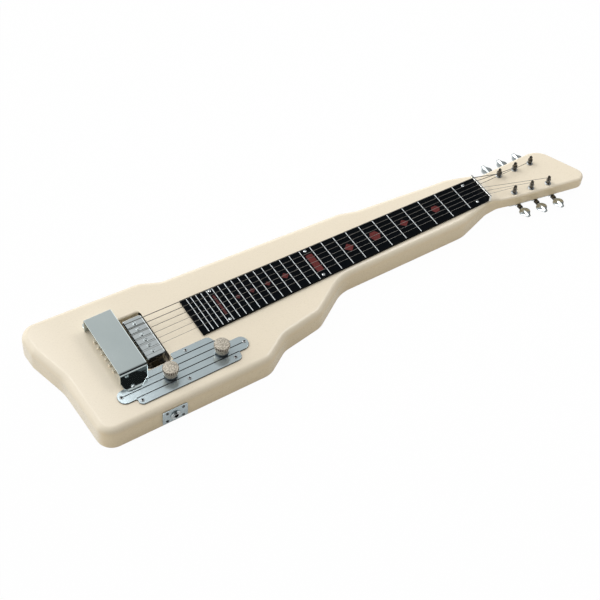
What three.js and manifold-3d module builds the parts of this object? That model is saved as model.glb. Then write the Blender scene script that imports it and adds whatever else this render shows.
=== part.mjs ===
// Six-string lap steel guitar with a one-piece body, lying flat with its strings up.
// X runs along the strings towards the headstock, Y runs towards the player, Z is up.
// Lengths are millimetres. A station is a distance from the front of the nut towards the bridge.

import * as THREE from 'three';
import { mergeVertices } from 'three/addons/utils/BufferGeometryUtils.js';
import Module from 'manifold-3d';

const wasm = await Module();
wasm.setup();

// Driving sizes of the whole instrument
const stringCount = 6;
const scaleLength = 571.5;
const fretCount = 28;
const tailBehind = 98.5;
const tailReach = scaleLength + tailBehind;
const headReach = 161.5;
const octaveSteps = 12;
const seatGap = 0.3;
const nutX = (tailReach - headReach) / 2;

// Body outline, corner by corner, each with the radius that rounds it. A corner lies at a share of
// the scale length, at a distance behind the saddle, or at a station from the nut.
const body = { thickness: 38, edgeRound: 6, headThickness: 18, headDrop: 7, headRound: 4 };
const tailEdge = [
  { behind: 76.7, side: -107, round: 22 },
  { behind: 80.7, side: -4, round: 70 },
  { behind: 97, side: 54, round: 16 },
  { behind: 99.5, side: 98.4, round: 23 },
];
const farEdge = [
  { share: 0.87, side: 90.3, round: 26 },
  { share: 0.822, side: 78.4, round: 26 },
  { share: 0.345, side: 65, round: 24 },
  { share: 0.304, side: 58.3, round: 24 },
  { share: 0.0525, side: 44.4, round: 30 },
  { station: -14, side: 28.9, round: 26 },
];
const headEdge = [
  { station: -131, side: 32, round: 30 },
  { station: -171, side: -52.4, round: 13 },
];
const controlEdge = [
  { station: -46, side: -31, round: 30 },
  { station: -18, side: -24.4, round: 18 },
  { station: 2, side: -24.4, round: 26 },
  { share: 0.0875, side: -37.7, round: 36 },
  { share: 0.448, side: -37.9, round: 50 },
  { share: 0.546, side: -74, round: 34 },
  { share: 0.6545, side: -84, round: 30 },
  { share: 0.7157, side: -106.8, round: 30 },
];
const heel = { start: 66, end: -26, steps: 10 };
const stepDown = { start: -4, steps: 6 };

// Fretboard, a tapered plate that ends just past its last painted fret
const board = { nutWidth: 45.8, endWidth: 63.4, thickness: 3, margin: 8.9 };
const boardEnd = scaleLength * (1 - 2 ** (-fretCount / octaveSteps)) + board.margin;

// Nut and strings. The thickest string is on the player's side and comes first in these lists.
const nut = { width: 47.4, length: 3.4, stringZ: 47.4, slotDepth: 1.2, slotSlack: 0.6 };
const stringRadii = [0.52, 0.44, 0.36, 0.3, 0.25, 0.22];
const stringPitch = { nut: 7.2, saddle: 10, anchor: 10.4 };
const winding = { turns: 2.25, stepsPerTurn: 8, topZ: 38.8, spare: 0.35 };
const ballEnd = { radius: 2, length: 3.6 };

// Bridge: cover, plate with an upright flange for the ball ends, saddle bar at the scale length
const cover = { width: 100, topZ: 61, sheet: 1.3, bend: 3, frontLip: 2, backLip: 5.5 };
const coverFoot = { inset: 1, reach: 13, frontReach: 3.6, shoulder: 1, round: 8 };
const coverScrew = { behind: 11, out: 8.6, hole: 3.6 };
const bridge = { ahead: 11.5, behind: 18.5, sideGap: 2.7, plate: 2.4, flangeZ: 44.6, flange: 2 };
const bridgeFront = scaleLength - bridge.ahead;
const bridgeBack = scaleLength + bridge.behind;
const bridgeHalf = cover.width / 2 - cover.sheet - bridge.sideGap;
const coverFront = bridgeFront - cover.frontLip;
const coverBack = bridgeBack + cover.backLip;
const anchorZ = 40.6;
const saddle = { stringZ: 51.2, width: 62, length: 7, crown: 3.6 };

// Pickup under the strings and the rout that it sits in
const pickup = { ahead: 35.5, length: 25, width: 70, topZ: 45, wall: 0.9, round: 3.5, base: 1.5 };
const pickupStation = scaleLength - pickup.ahead;
const rout = { frontGap: 5, backGap: 4.5, endGap: 9.5, depth: 14, round: 5 };
const routFront = pickupStation - pickup.length / 2 - rout.frontGap;
const routBack = pickupStation + pickup.length / 2 + rout.backGap;
const routHalf = pickup.width / 2 + rout.endGap;
const poleScrew = { pitch: 9.84, radius: 2.3, head: 1.1, shank: 1.5, length: 14, slack: 0.3 };
const bobbin = { flange: 1.6, coilInset: 1.5, sideSlack: 1.2 };
const pickupTab = { slack: 2.5, width: 9 };

// Control plate with its grooves and screws. Places are measured behind the saddle, and out from
// the side of the bridge plate towards the control side.
const plate = { thickness: 1.5, grooveWidth: 0.8, grooveDepth: 0.5 };
const plateEdge = [
  { behind: -53, out: -9.5, round: 2 },
  { behind: -53, out: 0.6, round: 0 },
  { behind: 9.5, out: 0.6, round: 6 },
  { behind: 17.5, out: 10.5, round: 3 },
  { behind: 36.5, out: 10.5, round: 10 },
  { behind: 36.5, out: 31.7, round: 10 },
  { behind: 15.5, out: 31.7, round: 1.5 },
  { behind: 15.5, out: 42.2, round: 6 },
  { behind: -131.5, out: 42.2, round: 8 },
  { behind: -131.5, out: 30.6, round: 1.5 },
  { behind: -149.5, out: 30.6, round: 9.5 },
  { behind: -149.5, out: 10, round: 9.5 },
  { behind: -128.5, out: 10, round: 3 },
  { behind: -124.5, out: 0.3, round: 5 },
  { behind: -112, out: 0.3, round: 3 },
  { behind: -108.5, out: -9.5, round: 7 },
];
const grooves = [
  { out: 0.4, start: -112.5, end: -52.5 },
  { out: 10.4, start: -128.5, end: 17.5 },
  { out: 20.4, start: -140.5, end: 27.5 },
  { out: 30.4, start: -131.5, end: 15.5 },
];
const plateScrews = [
  { behind: -72.6, out: -4.4 },
  { behind: -144.6, out: 20.2 },
  { behind: -122.7, out: 36.3 },
  { behind: -56.1, out: 36.3 },
  { behind: 10.5, out: 36.3 },
  { behind: 31.7, out: 20.2 },
];
const woodScrew = { headRadius: 2.4, head: 1.1, shank: 1.3, length: 9, slack: 0.3 };

// Pots and knobs, and the hollow under the control plate
const controls = [
  { name: 'volume', behind: -111.4, out: 20.7 },
  { name: 'tone', behind: -37.6, out: 20.7 },
];
const knob = { rim: 10.6, rimFall: 3, height: 17.6, skirt: 3.2, base: 8.8, waist: 8.2, dome: 1.6, lift: 0.6 };
const pot = { radius: 8.4, depth: 9, bushing: 3.4, bushingRise: 5, shaft: 2.9, shaftTop: 15.2 };
const cavity = { start: -127.5, end: 20.5, near: 32.4, far: 6, floor: 9, round: 8 };
const wireway = { width: 10, floor: 24.3, ceiling: 33 };

// Output jack on the control side
const jackPlate = { behind: -20.9, length: 35.6, height: 24, thickness: 1.5, z: 19.4, round: 1.5 };
const jack = { bore: 3.25, bush: 4.6, bushReach: 3.2, sleeve: 7, depth: 25, wall: 1.5 };
const jackNut = { radius: 6.4, thickness: 2 };
const jackBore = 8.6;

// Tuning machines, three on a plate on each side, with their shafts square to the strings
const tunerPitch = 27.6;
const tunerRows = [
  { name: 'far', station: -48.6, side: 15.2, turn: 1.9, reach: 33, out: 1 },
  { name: 'near', station: -48, side: -22.2, turn: 9.3, reach: 24, out: -1 },
];
const post = { radius: 2.5, rise: 13.5, slotWidth: 1.2, slotDepth: 3.4 };
const bushing = { radius: 3.8, flangeRadius: 4.8, flange: 1.7 };
const gear = { teeth: 12, radius: 4, tooth: 0.9, thickness: 3.4 };
const worm = { offset: 6.6, radius: 2.3, thread: 0.6, length: 8, turns: 3, shaft: 1.7 };
const tunerPlate = { thickness: 1.3, width: 15, overhang: 9.5, lug: 1.6, lugWidth: 7, lugTail: 2.6 };
const collar = { start: 10.6, length: 2, taper: 2, radius: 2.9 };
const button = { length: 18.6, width: 17, thickness: 3, bevel: 1, spine: 2.3, spineEdge: 1.5, neck: 2 };
const buttonShares = [[0.24, -1], [0.66, -0.72], [1, -0.16], [0.88, 0.22], [0.5, 0.55], [0.34, 1]];

// Levels that several pieces share
const topZ = body.thickness;
const boardTopZ = topZ + seatGap + board.thickness;
const headTopZ = topZ - body.headDrop;
const headUnderZ = headTopZ - body.headThickness;
const plateTopZ = topZ + seatGap + plate.thickness;
const overcut = 2;
const roundSides = 20;
const smallSides = 8;
const arcSteps = 3;
const edgeSteps = 3;

// Materials
const finish = {
  lacquer: { color: '#e6d8bd', roughness: 0.22, metalness: 0 },
  blackBoard: { color: '#101414', roughness: 0.35, metalness: 0 },
  chrome: { color: '#c9d2d6', roughness: 0.08, metalness: 1 },
  steel: { color: '#b9bcbe', roughness: 0.3, metalness: 1 },
  brass: { color: '#b79a55', roughness: 0.35, metalness: 1 },
  blackPlastic: { color: '#17181a', roughness: 0.5, metalness: 0 },
};

const guitar = new THREE.Group();
guitar.name = 'lap_steel_guitar';

function addPiece(name, solid, look) {
  const mesh = new THREE.Mesh(toGeometry(solid), new THREE.MeshStandardMaterial(finish[look]));
  mesh.name = name;
  guitar.add(mesh);
}

// Solids: closed geometry in, closed geometry out

function toSolid(geometry) {
  const bare = new THREE.BufferGeometry();
  bare.setAttribute('position', geometry.getAttribute('position'));
  if (geometry.index) bare.setIndex(geometry.index);
  const merged = mergeVertices(bare);
  const flat = removeSlivers(merged);
  return new wasm.Manifold(new wasm.Mesh({
    numProp: 3,
    vertProperties: new Float32Array(merged.getAttribute('position').array),
    triVerts: new Uint32Array(flat),
  }));
}

function removeSlivers(geometry) {
  const kept = [];
  const corners = geometry.index.array;
  for (let i = 0; i < corners.length; i += 3) {
    const [a, b, c] = [corners[i], corners[i + 1], corners[i + 2]];
    if (a !== b && b !== c && c !== a) kept.push(a, b, c);
  }
  return kept;
}

function toGeometry(solid) {
  const mesh = solid.getMesh();
  const shared = new THREE.BufferGeometry();
  shared.setAttribute('position', new THREE.BufferAttribute(mesh.vertProperties, mesh.numProp));
  shared.setIndex(new THREE.BufferAttribute(mesh.triVerts, 1));
  const faceted = shared.toNonIndexed();
  faceted.computeVertexNormals();
  return faceted;
}

function union(...solids) {
  return solids.reduce((sum, solid) => sum.add(solid));
}

function cut(solid, ...tools) {
  return tools.reduce((rest, tool) => rest.subtract(tool), solid);
}

// Places: a station and a side become X and Y

function toX(station) {
  return nutX - station;
}

// Distance from the nut, however the spot states it
function stationOf(spot) {
  if (spot.share !== undefined) return spot.share * scaleLength;
  if (spot.behind !== undefined) return scaleLength + spot.behind;
  return spot.station;
}

function sideOf(spot) {
  return spot.out === undefined ? spot.side : -bridgeHalf - spot.out;
}

function toPlace(spot) {
  return new THREE.Vector2(toX(stationOf(spot)), sideOf(spot));
}

function behindSaddle(distance) {
  return toX(scaleLength + distance);
}

function besideBridge(out) {
  return -bridgeHalf - out;
}

// Flat outline whose corners are rounded by arcs
function roundedShape(corners) {
  const shape = new THREE.Shape();
  corners.forEach((corner, i) => {
    const here = corner.place;
    const back = corners.at(i - 1).place.clone().sub(here).normalize();
    const ahead = corners[(i + 1) % corners.length].place.clone().sub(here).normalize();
    const halfAngle = Math.acos(THREE.MathUtils.clamp(back.dot(ahead), -1, 1)) / 2;
    const reach = corner.round / Math.tan(halfAngle);
    const start = here.clone().addScaledVector(back, reach);
    if (i === 0) shape.moveTo(start.x, start.y);
    else shape.lineTo(start.x, start.y);
    if (corner.round > 0) roundCorner(shape, corner, back, ahead, halfAngle);
  });
  shape.closePath();
  return shape;
}

function roundCorner(shape, corner, back, ahead, halfAngle) {
  const inward = back.clone().add(ahead).normalize();
  const centre = corner.place.clone().addScaledVector(inward, corner.round / Math.sin(halfAngle));
  const reach = corner.round / Math.tan(halfAngle);
  const start = corner.place.clone().addScaledVector(back, reach).sub(centre);
  const end = corner.place.clone().addScaledVector(ahead, reach).sub(centre);
  const clockwise = back.cross(ahead) > 0;
  shape.absarc(centre.x, centre.y, corner.round, start.angle(), end.angle(), clockwise);
}

function placed(corners) {
  return corners.map((corner) => ({ place: toPlace(corner), round: corner.round }));
}

function rectangle(x0, x1, y0, y1, round = 0) {
  const places = [[x0, y0], [x1, y0], [x1, y1], [x0, y1]];
  return roundedShape(places.map(([x, y]) => ({ place: new THREE.Vector2(x, y), round })));
}

// Upright prism from an outline, between two levels, with rounded edges where wanted
function prism(shape, z0, z1, edge = 0, curveSegments = arcSteps) {
  const geometry = new THREE.ExtrudeGeometry(shape, {
    depth: z1 - z0 - 2 * edge,
    bevelEnabled: edge > 0,
    bevelThickness: edge,
    bevelSize: edge,
    bevelOffset: -edge,
    bevelSegments: edgeSteps,
    curveSegments,
  });
  geometry.translate(0, 0, z0 + edge);
  return toSolid(geometry);
}

function block(x0, x1, y0, y1, z0, z1) {
  return prism(rectangle(Math.min(x0, x1), Math.max(x0, x1), y0, y1), z0, z1);
}

function rod(x, y, z0, z1, radius, sides = smallSides) {
  const geometry = new THREE.CylinderGeometry(radius, radius, z1 - z0, sides);
  geometry.rotateX(Math.PI / 2);
  geometry.translate(x, y, (z0 + z1) / 2);
  return toSolid(geometry);
}

// Round hole whose flats, not its corners, keep the radius
function hole(x, y, z0, z1, radius, sides = smallSides) {
  return rod(x, y, z0, z1, radius / Math.cos(Math.PI / sides), sides);
}

// Turned solid about Z from a list of [radius, height] points that starts and ends on the axis
function turned(profile, sides = roundSides) {
  const geometry = new THREE.LatheGeometry(profile.map(([r, h]) => new THREE.Vector2(r, h)), sides);
  geometry.rotateX(Math.PI / 2);
  return toSolid(geometry);
}

function sideways(solid) {
  return solid.rotate([-90, 0, 0]);
}

// Body: one plank with rounded edges, thinner under the headstock, with its cavities

function easedRun(from, to, z0, z1, steps) {
  return Array.from({ length: steps + 1 }, (_, i) => {
    const share = i / steps;
    const rise = (z1 - z0) * THREE.MathUtils.smoothstep(share, 0, 1);
    return new THREE.Vector2(toX(from + (to - from) * share), z0 + rise);
  });
}

function alongY(points, width) {
  const shape = new THREE.Shape(points);
  const geometry = new THREE.ExtrudeGeometry(shape, { depth: width, bevelEnabled: false });
  geometry.rotateX(Math.PI / 2);
  geometry.translate(0, width / 2, 0);
  return toSolid(geometry);
}

function heelCutter(width) {
  const tip = toX(-headReach - overcut);
  return alongY([
    new THREE.Vector2(tip, -overcut),
    new THREE.Vector2(toX(heel.start), -overcut),
    ...easedRun(heel.start, heel.end, 0, headUnderZ, heel.steps),
    new THREE.Vector2(tip, headUnderZ),
  ], width);
}

function stepCutter(width) {
  const tip = toX(-headReach - overcut);
  return alongY([
    ...easedRun(stepDown.start, heel.end, topZ, headTopZ, stepDown.steps),
    new THREE.Vector2(tip, headTopZ),
    new THREE.Vector2(tip, topZ + overcut),
    new THREE.Vector2(toX(stepDown.start), topZ + overcut),
  ], width);
}

function cavities() {
  const routBox = rectangle(toX(routBack), toX(routFront), -routHalf, routHalf, rout.round);
  const near = besideBridge(cavity.near);
  const far = besideBridge(cavity.far);
  const wellBox = rectangle(behindSaddle(cavity.end), behindSaddle(cavity.start), near, far, cavity.round);
  const above = topZ + overcut;
  const jackX = behindSaddle(jackPlate.behind);
  const boreDepth = near - bodyControlSide() + overcut;
  const bore = sideways(hole(0, 0, 0, boreDepth + overcut, jackBore, roundSides));
  return [
    prism(routBox, topZ - rout.depth, above),
    prism(wellBox, cavity.floor, above),
    block(jackX - wireway.width / 2, jackX + wireway.width / 2, far - overcut,
      -routHalf + overcut, wireway.floor, wireway.ceiling),
    bore.translate([jackX, bodyControlSide() - overcut, jackPlate.z]),
  ];
}

function bodyControlSide() {
  return controlEdge.at(-1).side;
}

function tunerHoles() {
  return tunerRows.flatMap((row) => stringIndexes(row).map((i) => {
    const spot = postPlace(row, i);
    return hole(spot.x, spot.y, headUnderZ - overcut, headTopZ + overcut, bushing.radius + seatGap);
  }));
}

function plateScrewHoles() {
  const radius = woodScrew.shank + seatGap;
  const bottom = plateTopZ - woodScrew.length - overcut;
  return plateScrews.map((spot) => {
    const place = toPlace(spot);
    return hole(place.x, place.y, bottom, topZ + overcut, radius);
  });
}

function makeBody() {
  const outline = roundedShape(placed([...tailEdge, ...farEdge, ...headEdge, ...controlEdge]));
  const plank = prism(outline, 0, body.thickness, body.edgeRound);
  const span = 2 * tailReach;
  const neckEnd = cut(plank, heelCutter(span), stepCutter(span));
  const headSpace = block(toX(heel.end), toX(-headReach - overcut), -headReach, headReach, 0, topZ);
  const head = prism(outline, headUnderZ, headTopZ, body.headRound).intersect(headSpace);
  const whole = union(cut(neckEnd, headSpace), head);
  return cut(whole, ...cavities(), ...tunerHoles(), ...plateScrewHoles());
}

// Fretboard
function makeBoard() {
  const start = { place: new THREE.Vector2(nutX - seatGap, board.nutWidth / 2), round: 0 };
  const end = { place: new THREE.Vector2(toX(boardEnd), board.endWidth / 2), round: 0 };
  const mirrored = [end, start].map(({ place, round }) => (
    { place: new THREE.Vector2(place.x, -place.y), round }));
  return prism(roundedShape([start, end, ...mirrored]), topZ + seatGap, boardTopZ);
}

// Strings run from ball end to post, with even spacing across each support. String 1 is the thinnest.

function stringSide(pitch, i) {
  return ((stringCount - 1) / 2 - i) * pitch;
}

function stringIndexes(row) {
  const half = stringCount / 2;
  const first = row.out > 0 ? 0 : half;
  return Array.from({ length: half }, (_, k) => first + k);
}

// Outer strings go to the posts nearest the nut
function stepsFromNut(row, i) {
  return row.out > 0 ? i : stringCount - 1 - i;
}

function postPlace(row, i) {
  const along = new THREE.Vector2(tunerPitch * stepsFromNut(row, i), 0);
  along.rotateAround(new THREE.Vector2(), THREE.MathUtils.degToRad(-row.turn));
  return new THREE.Vector2(toX(row.station) + along.x, row.side + along.y);
}

function stringRoute(row, i) {
  const radius = stringRadii[i];
  const centre = postPlace(row, i);
  const nutPoint = new THREE.Vector2(toX(-nut.length / 2), stringSide(stringPitch.nut, i));
  const towards = nutPoint.clone().sub(centre);
  const coil = post.radius + seatGap + radius;
  const startAngle = towards.angle() + row.out * Math.acos(coil / towards.length());
  const pitch = 2 * radius + winding.spare;
  const route = [
    new THREE.Vector3(toX(bridgeBack + bridge.flange), stringSide(stringPitch.anchor, i), anchorZ),
    new THREE.Vector3(toX(bridgeBack - bridge.flange), stringSide(stringPitch.anchor, i), anchorZ),
    new THREE.Vector3(toX(scaleLength), stringSide(stringPitch.saddle, i), saddle.stringZ + radius),
    new THREE.Vector3(nutPoint.x, nutPoint.y, nut.stringZ + radius),
  ];
  const count = Math.round(winding.turns * winding.stepsPerTurn);
  for (let k = 0; k <= count; k += 1) {
    const turn = k / winding.stepsPerTurn;
    const angle = startAngle + row.out * turn * 2 * Math.PI;
    const x = centre.x + coil * Math.cos(angle);
    const y = centre.y + coil * Math.sin(angle);
    route.push(new THREE.Vector3(x, y, winding.topZ - turn * pitch));
  }
  return route;
}

// Curve through given points, sampled exactly at those points
class RoutedCurve extends THREE.Curve {
  constructor(points) {
    super();
    this.points = points;
  }

  getPointAt(share, target = new THREE.Vector3()) {
    const last = this.points.length - 1;
    return target.copy(this.points[Math.round(share * last)]);
  }

  getTangentAt(share, target = new THREE.Vector3()) {
    const last = this.points.length - 1;
    const i = Math.round(share * last);
    const before = this.leg(Math.max(i - 1, 0));
    const after = this.leg(Math.min(i, last - 1));
    return target.copy(before.add(after).normalize());
  }

  leg(i) {
    return this.points[i + 1].clone().sub(this.points[i]).normalize();
  }
}

function tube(points, radius, sides) {
  const ring = new THREE.Shape();
  for (let k = 0; k < sides; k += 1) {
    const angle = (2 * Math.PI * k) / sides;
    const x = radius * Math.cos(angle);
    const y = radius * Math.sin(angle);
    if (k === 0) ring.moveTo(x, y);
    else ring.lineTo(x, y);
  }
  ring.closePath();
  const extrudePath = new RoutedCurve(points);
  return toSolid(new THREE.ExtrudeGeometry(ring, { steps: points.length - 1, extrudePath }));
}

function makeString(row, i) {
  const route = stringRoute(row, i);
  const sides = 5;
  const ball = turned([
    [0, -ballEnd.length / 2], [ballEnd.radius, -ballEnd.length / 2],
    [ballEnd.radius, ballEnd.length / 2], [0, ballEnd.length / 2],
  ], smallSides);
  const ballX = toX(bridgeBack + seatGap + ballEnd.radius);
  const seated = ball.translate([ballX, stringSide(stringPitch.anchor, i), anchorZ]);
  return union(tube(route, stringRadii[i], sides), seated);
}

// Nut: raised bar, slotted for each string
function makeNut() {
  const nutTop = nut.stringZ + nut.slotDepth;
  const bar = block(toX(0), toX(-nut.length), -nut.width / 2, nut.width / 2, topZ + seatGap, nutTop);
  const slots = stringRadii.map((radius, i) => {
    const side = stringSide(stringPitch.nut, i);
    const half = radius + nut.slotSlack;
    const front = toX(overcut);
    const back = toX(-nut.length - overcut);
    const floor = nut.stringZ - 2 * seatGap;
    return block(front, back, side - half, side + half, floor, nutTop + overcut);
  });
  return cut(bar, ...slots);
}

// Bridge plate: flat under the saddle, turned up behind it, with a hole for each string
function makeBridge() {
  const half = bridgeHalf;
  const bottom = topZ + seatGap;
  const flat = block(toX(bridgeFront), toX(bridgeBack), -half, half, bottom, bottom + bridge.plate);
  const flangeFront = bridgeBack - bridge.flange;
  const upright = block(toX(flangeFront), toX(bridgeBack), -half, half, bottom, bridge.flangeZ);
  const holes = stringRadii.map((radius, i) => {
    const upward = hole(0, 0, -overcut, bridge.flange + overcut, radius + seatGap);
    const level = upward.rotate([0, 90, 0]);
    return level.translate([toX(bridgeBack), stringSide(stringPitch.anchor, i), anchorZ]);
  });
  return cut(union(flat, upright), ...holes);
}

function makeSaddle() {
  const half = saddle.length / 2;
  const bottom = topZ + 2 * seatGap + bridge.plate;
  const crownZ = saddle.stringZ - 2 * seatGap;
  const profile = new THREE.Shape();
  profile.moveTo(-half, bottom);
  profile.lineTo(half, bottom);
  profile.lineTo(half, crownZ - saddle.crown);
  profile.quadraticCurveTo(half / 2, crownZ, 0, crownZ);
  profile.quadraticCurveTo(-half / 2, crownZ, -half, crownZ - saddle.crown);
  profile.closePath();
  const options = { depth: saddle.width, bevelEnabled: false, curveSegments: arcSteps };
  const geometry = new THREE.ExtrudeGeometry(profile, options);
  geometry.rotateX(Math.PI / 2);
  geometry.translate(toX(scaleLength), saddle.width / 2, 0);
  return toSolid(geometry);
}

// Bridge cover: sheet bent down at both ends, each end with a foot that is screwed down

function coverSkin(inset) {
  const half = cover.width / 2 - inset;
  const top = cover.topZ - inset;
  const bend = cover.bend - inset;
  const floor = topZ - overcut;
  return roundedShape([
    { place: new THREE.Vector2(-half, floor), round: 0 },
    { place: new THREE.Vector2(half, floor), round: 0 },
    { place: new THREE.Vector2(half, top), round: bend },
    { place: new THREE.Vector2(-half, top), round: bend },
  ]);
}

function alongX(shape, x0, x1) {
  const options = { depth: x1 - x0, bevelEnabled: false, curveSegments: arcSteps };
  const geometry = new THREE.ExtrudeGeometry(shape, options);
  geometry.rotateX(Math.PI / 2);
  geometry.rotateZ(Math.PI / 2);
  geometry.translate(x0, 0, 0);
  return toSolid(geometry);
}

// Foot that reaches full width behind its shoulder and slopes back to the front of the cover
function coverFootPiece(out, footZ) {
  const wall = cover.width / 2 - cover.sheet;
  const front = toX(coverFront + coverFoot.inset);
  const back = toX(coverBack - coverFoot.inset);
  const tip = cover.width / 2 + coverFoot.reach;
  const corners = [
    { x: back, reach: wall, round: 0 },
    { x: back, reach: tip, round: coverFoot.round },
    { x: behindSaddle(coverFoot.shoulder), reach: tip, round: coverFoot.round },
    { x: front, reach: cover.width / 2 + coverFoot.frontReach, round: coverFoot.frontReach / 2 },
    { x: front, reach: wall, round: 0 },
  ].map(({ x, reach, round }) => ({ place: new THREE.Vector2(x, out * reach), round }));
  const outline = roundedShape(out > 0 ? corners.reverse() : corners);
  return prism(outline, footZ, footZ + cover.sheet);
}

function makeCover() {
  const shell = cut(alongX(coverSkin(0), toX(coverBack), toX(coverFront)),
    alongX(coverSkin(cover.sheet), toX(coverBack) - overcut, toX(coverFront) + overcut));
  const farZ = topZ + seatGap;
  const nearZ = plateTopZ + seatGap;
  const ground = block(toX(coverBack) - overcut, toX(coverFront) + overcut, 0, cover.width, 0, farZ);
  const nearGround = block(toX(coverBack) - overcut, toX(coverFront) + overcut, -cover.width, 0, 0, nearZ);
  const screwHoles = [-1, 1].map((out) => hole(behindSaddle(coverScrew.behind),
    out * (cover.width / 2 + coverScrew.out), topZ, cover.topZ, coverScrew.hole / 2));
  const feet = union(coverFootPiece(1, farZ), coverFootPiece(-1, nearZ));
  return cut(union(cut(shell, ground, nearGround), feet), ...screwHoles);
}

// Pickup: base plate, coil on its bobbin, pole screws and cover

const pickupX = toX(pickupStation);
const pickupFloorZ = topZ - rout.depth + seatGap;
const pickupInsideZ = pickupFloorZ + pickup.base + seatGap;

function poleSide(i) {
  return stringSide(poleScrew.pitch, i);
}

function poleHoles(z0, z1) {
  return stringRadii.map((_, i) => hole(pickupX, poleSide(i), z0, z1, poleScrew.shank + poleScrew.slack));
}

function pickupBox(inset, z0, z1, edge = 0) {
  const halfX = pickup.length / 2 - inset;
  const halfY = pickup.width / 2 - inset;
  const round = Math.max(pickup.round - inset, 0);
  return prism(rectangle(pickupX - halfX, pickupX + halfX, -halfY, halfY, round), z0, z1, edge);
}

function makePickupBase() {
  const reach = routHalf - pickupTab.slack;
  const tabs = block(pickupX - pickupTab.width / 2, pickupX + pickupTab.width / 2, -reach, reach,
    pickupFloorZ, pickupFloorZ + pickup.base);
  return union(pickupBox(0, pickupFloorZ, pickupFloorZ + pickup.base), tabs);
}

function makePickupCover() {
  const outer = pickupBox(0, pickupInsideZ, pickup.topZ);
  const inner = pickupBox(pickup.wall, pickupInsideZ - overcut, pickup.topZ - pickup.wall);
  return cut(outer, inner, ...poleHoles(pickupInsideZ, pickup.topZ + overcut));
}

function makeCoil() {
  const inset = pickup.wall + bobbin.sideSlack;
  const ceiling = pickup.topZ - pickup.wall - seatGap;
  const lower = pickupBox(inset, pickupInsideZ, pickupInsideZ + bobbin.flange);
  const middle = pickupBox(inset + bobbin.coilInset, pickupInsideZ, ceiling);
  const upper = pickupBox(inset, ceiling - bobbin.flange, ceiling);
  return cut(union(lower, middle, upper), ...poleHoles(pickupInsideZ - overcut, ceiling + overcut));
}

function makePole(i) {
  const head = pickup.topZ + seatGap;
  const foot = head - poleScrew.length;
  const screw = turned([
    [0, foot], [poleScrew.shank, foot], [poleScrew.shank, head],
    [poleScrew.radius, head], [poleScrew.radius, head + poleScrew.head], [0, head + poleScrew.head],
  ], smallSides);
  return screw.translate([pickupX, poleSide(i), 0]);
}

// Control plate, its screws, pots and knobs

function makeControlPlate() {
  const sheet = prism(roundedShape(placed(plateEdge)), topZ + seatGap, plateTopZ);
  const halfLine = plate.grooveWidth / 2;
  const lines = grooves.map((groove) => block(behindSaddle(groove.end), behindSaddle(groove.start),
    besideBridge(groove.out) - halfLine, besideBridge(groove.out) + halfLine,
    plateTopZ - plate.grooveDepth, plateTopZ + overcut));
  const shafts = controls.map((control) => throughPlate(control, pot.bushing + seatGap));
  const holes = plateScrews.map((spot) => throughPlate(spot, woodScrew.shank + woodScrew.slack));
  return cut(sheet, ...lines, ...shafts, ...holes);
}

function throughPlate(spot, radius) {
  const place = toPlace(spot);
  return hole(place.x, place.y, topZ, plateTopZ + overcut, radius);
}

function standing(solid, spot) {
  const place = toPlace(spot);
  return solid.translate([place.x, place.y, 0]);
}

function makePlateScrew(spot) {
  const head = plateTopZ + seatGap;
  const tip = head - woodScrew.length;
  const screw = turned([
    [0, tip], [woodScrew.shank, tip + woodScrew.shank], [woodScrew.shank, head],
    [woodScrew.headRadius, head], [woodScrew.headRadius / 2, head + woodScrew.head],
    [0, head + woodScrew.head],
  ], smallSides);
  return standing(screw, spot);
}

function makePotHousing(control) {
  const under = topZ - seatGap;
  const inner = pot.shaft + seatGap;
  const can = turned([
    [0, under - pot.depth], [pot.radius, under - pot.depth], [pot.radius, under],
    [pot.bushing, under], [pot.bushing, plateTopZ + pot.bushingRise - knob.lift],
    [inner, plateTopZ + pot.bushingRise - knob.lift], [inner, under - pot.depth / 2],
    [0, under - pot.depth / 2],
  ]);
  return standing(can, control);
}

function makePotShaft(control) {
  const bottom = topZ - seatGap - pot.depth / 2 + seatGap;
  const shaft = turned([
    [0, bottom], [pot.shaft, bottom], [pot.shaft, plateTopZ + pot.shaftTop], [0, plateTopZ + pot.shaftTop],
  ], smallSides);
  return standing(shaft, control);
}

function makeKnob(control) {
  const bottom = plateTopZ + knob.lift;
  const top = bottom + knob.height;
  const boreTop = plateTopZ + pot.shaftTop + seatGap;
  const hollow = pot.bushing + 2 * seatGap;
  const hollowTop = plateTopZ + pot.bushingRise;
  const grip = pot.shaft + seatGap;
  const shell = turned([
    [0, boreTop], [grip, boreTop], [grip, hollowTop], [hollow, hollowTop], [hollow, bottom],
    [knob.base, bottom], [knob.base, bottom + knob.skirt], [knob.waist, bottom + knob.skirt],
    [knob.waist, (bottom + top) / 2 - knob.rimFall], [knob.rim, top - knob.rimFall],
    [knob.rim - knob.dome, top - knob.dome / 2], [0, top],
  ]);
  return standing(shell, control);
}

// Jack: plate on the side, socket through it, nut outside

function sidePlate() {
  const halfX = jackPlate.length / 2;
  const halfZ = jackPlate.height / 2;
  const outline = rectangle(-halfX, halfX, -halfZ, halfZ, jackPlate.round);
  return prism(outline, 0, jackPlate.thickness);
}

function onControlSide(solid, standOff) {
  const place = [behindSaddle(jackPlate.behind), bodyControlSide() - standOff, jackPlate.z];
  return solid.rotate([90, 0, 0]).translate(place);
}

function makeJackPlate() {
  const opening = hole(0, 0, -overcut, jackPlate.thickness + overcut, jack.bush + seatGap, roundSides);
  return onControlSide(cut(sidePlate(), opening), seatGap);
}

function makeJackSocket() {
  const face = jackPlate.thickness + seatGap;
  const tip = face + jack.bushReach;
  const shoulder = -seatGap;
  return onControlSide(turned([
    [0, -jack.depth], [jack.sleeve, -jack.depth], [jack.sleeve, shoulder],
    [jack.bush, shoulder], [jack.bush, tip], [jack.bore, tip],
    [jack.bore, -jack.depth + jack.wall], [0, -jack.depth + jack.wall],
  ]), 0);
}

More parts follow.
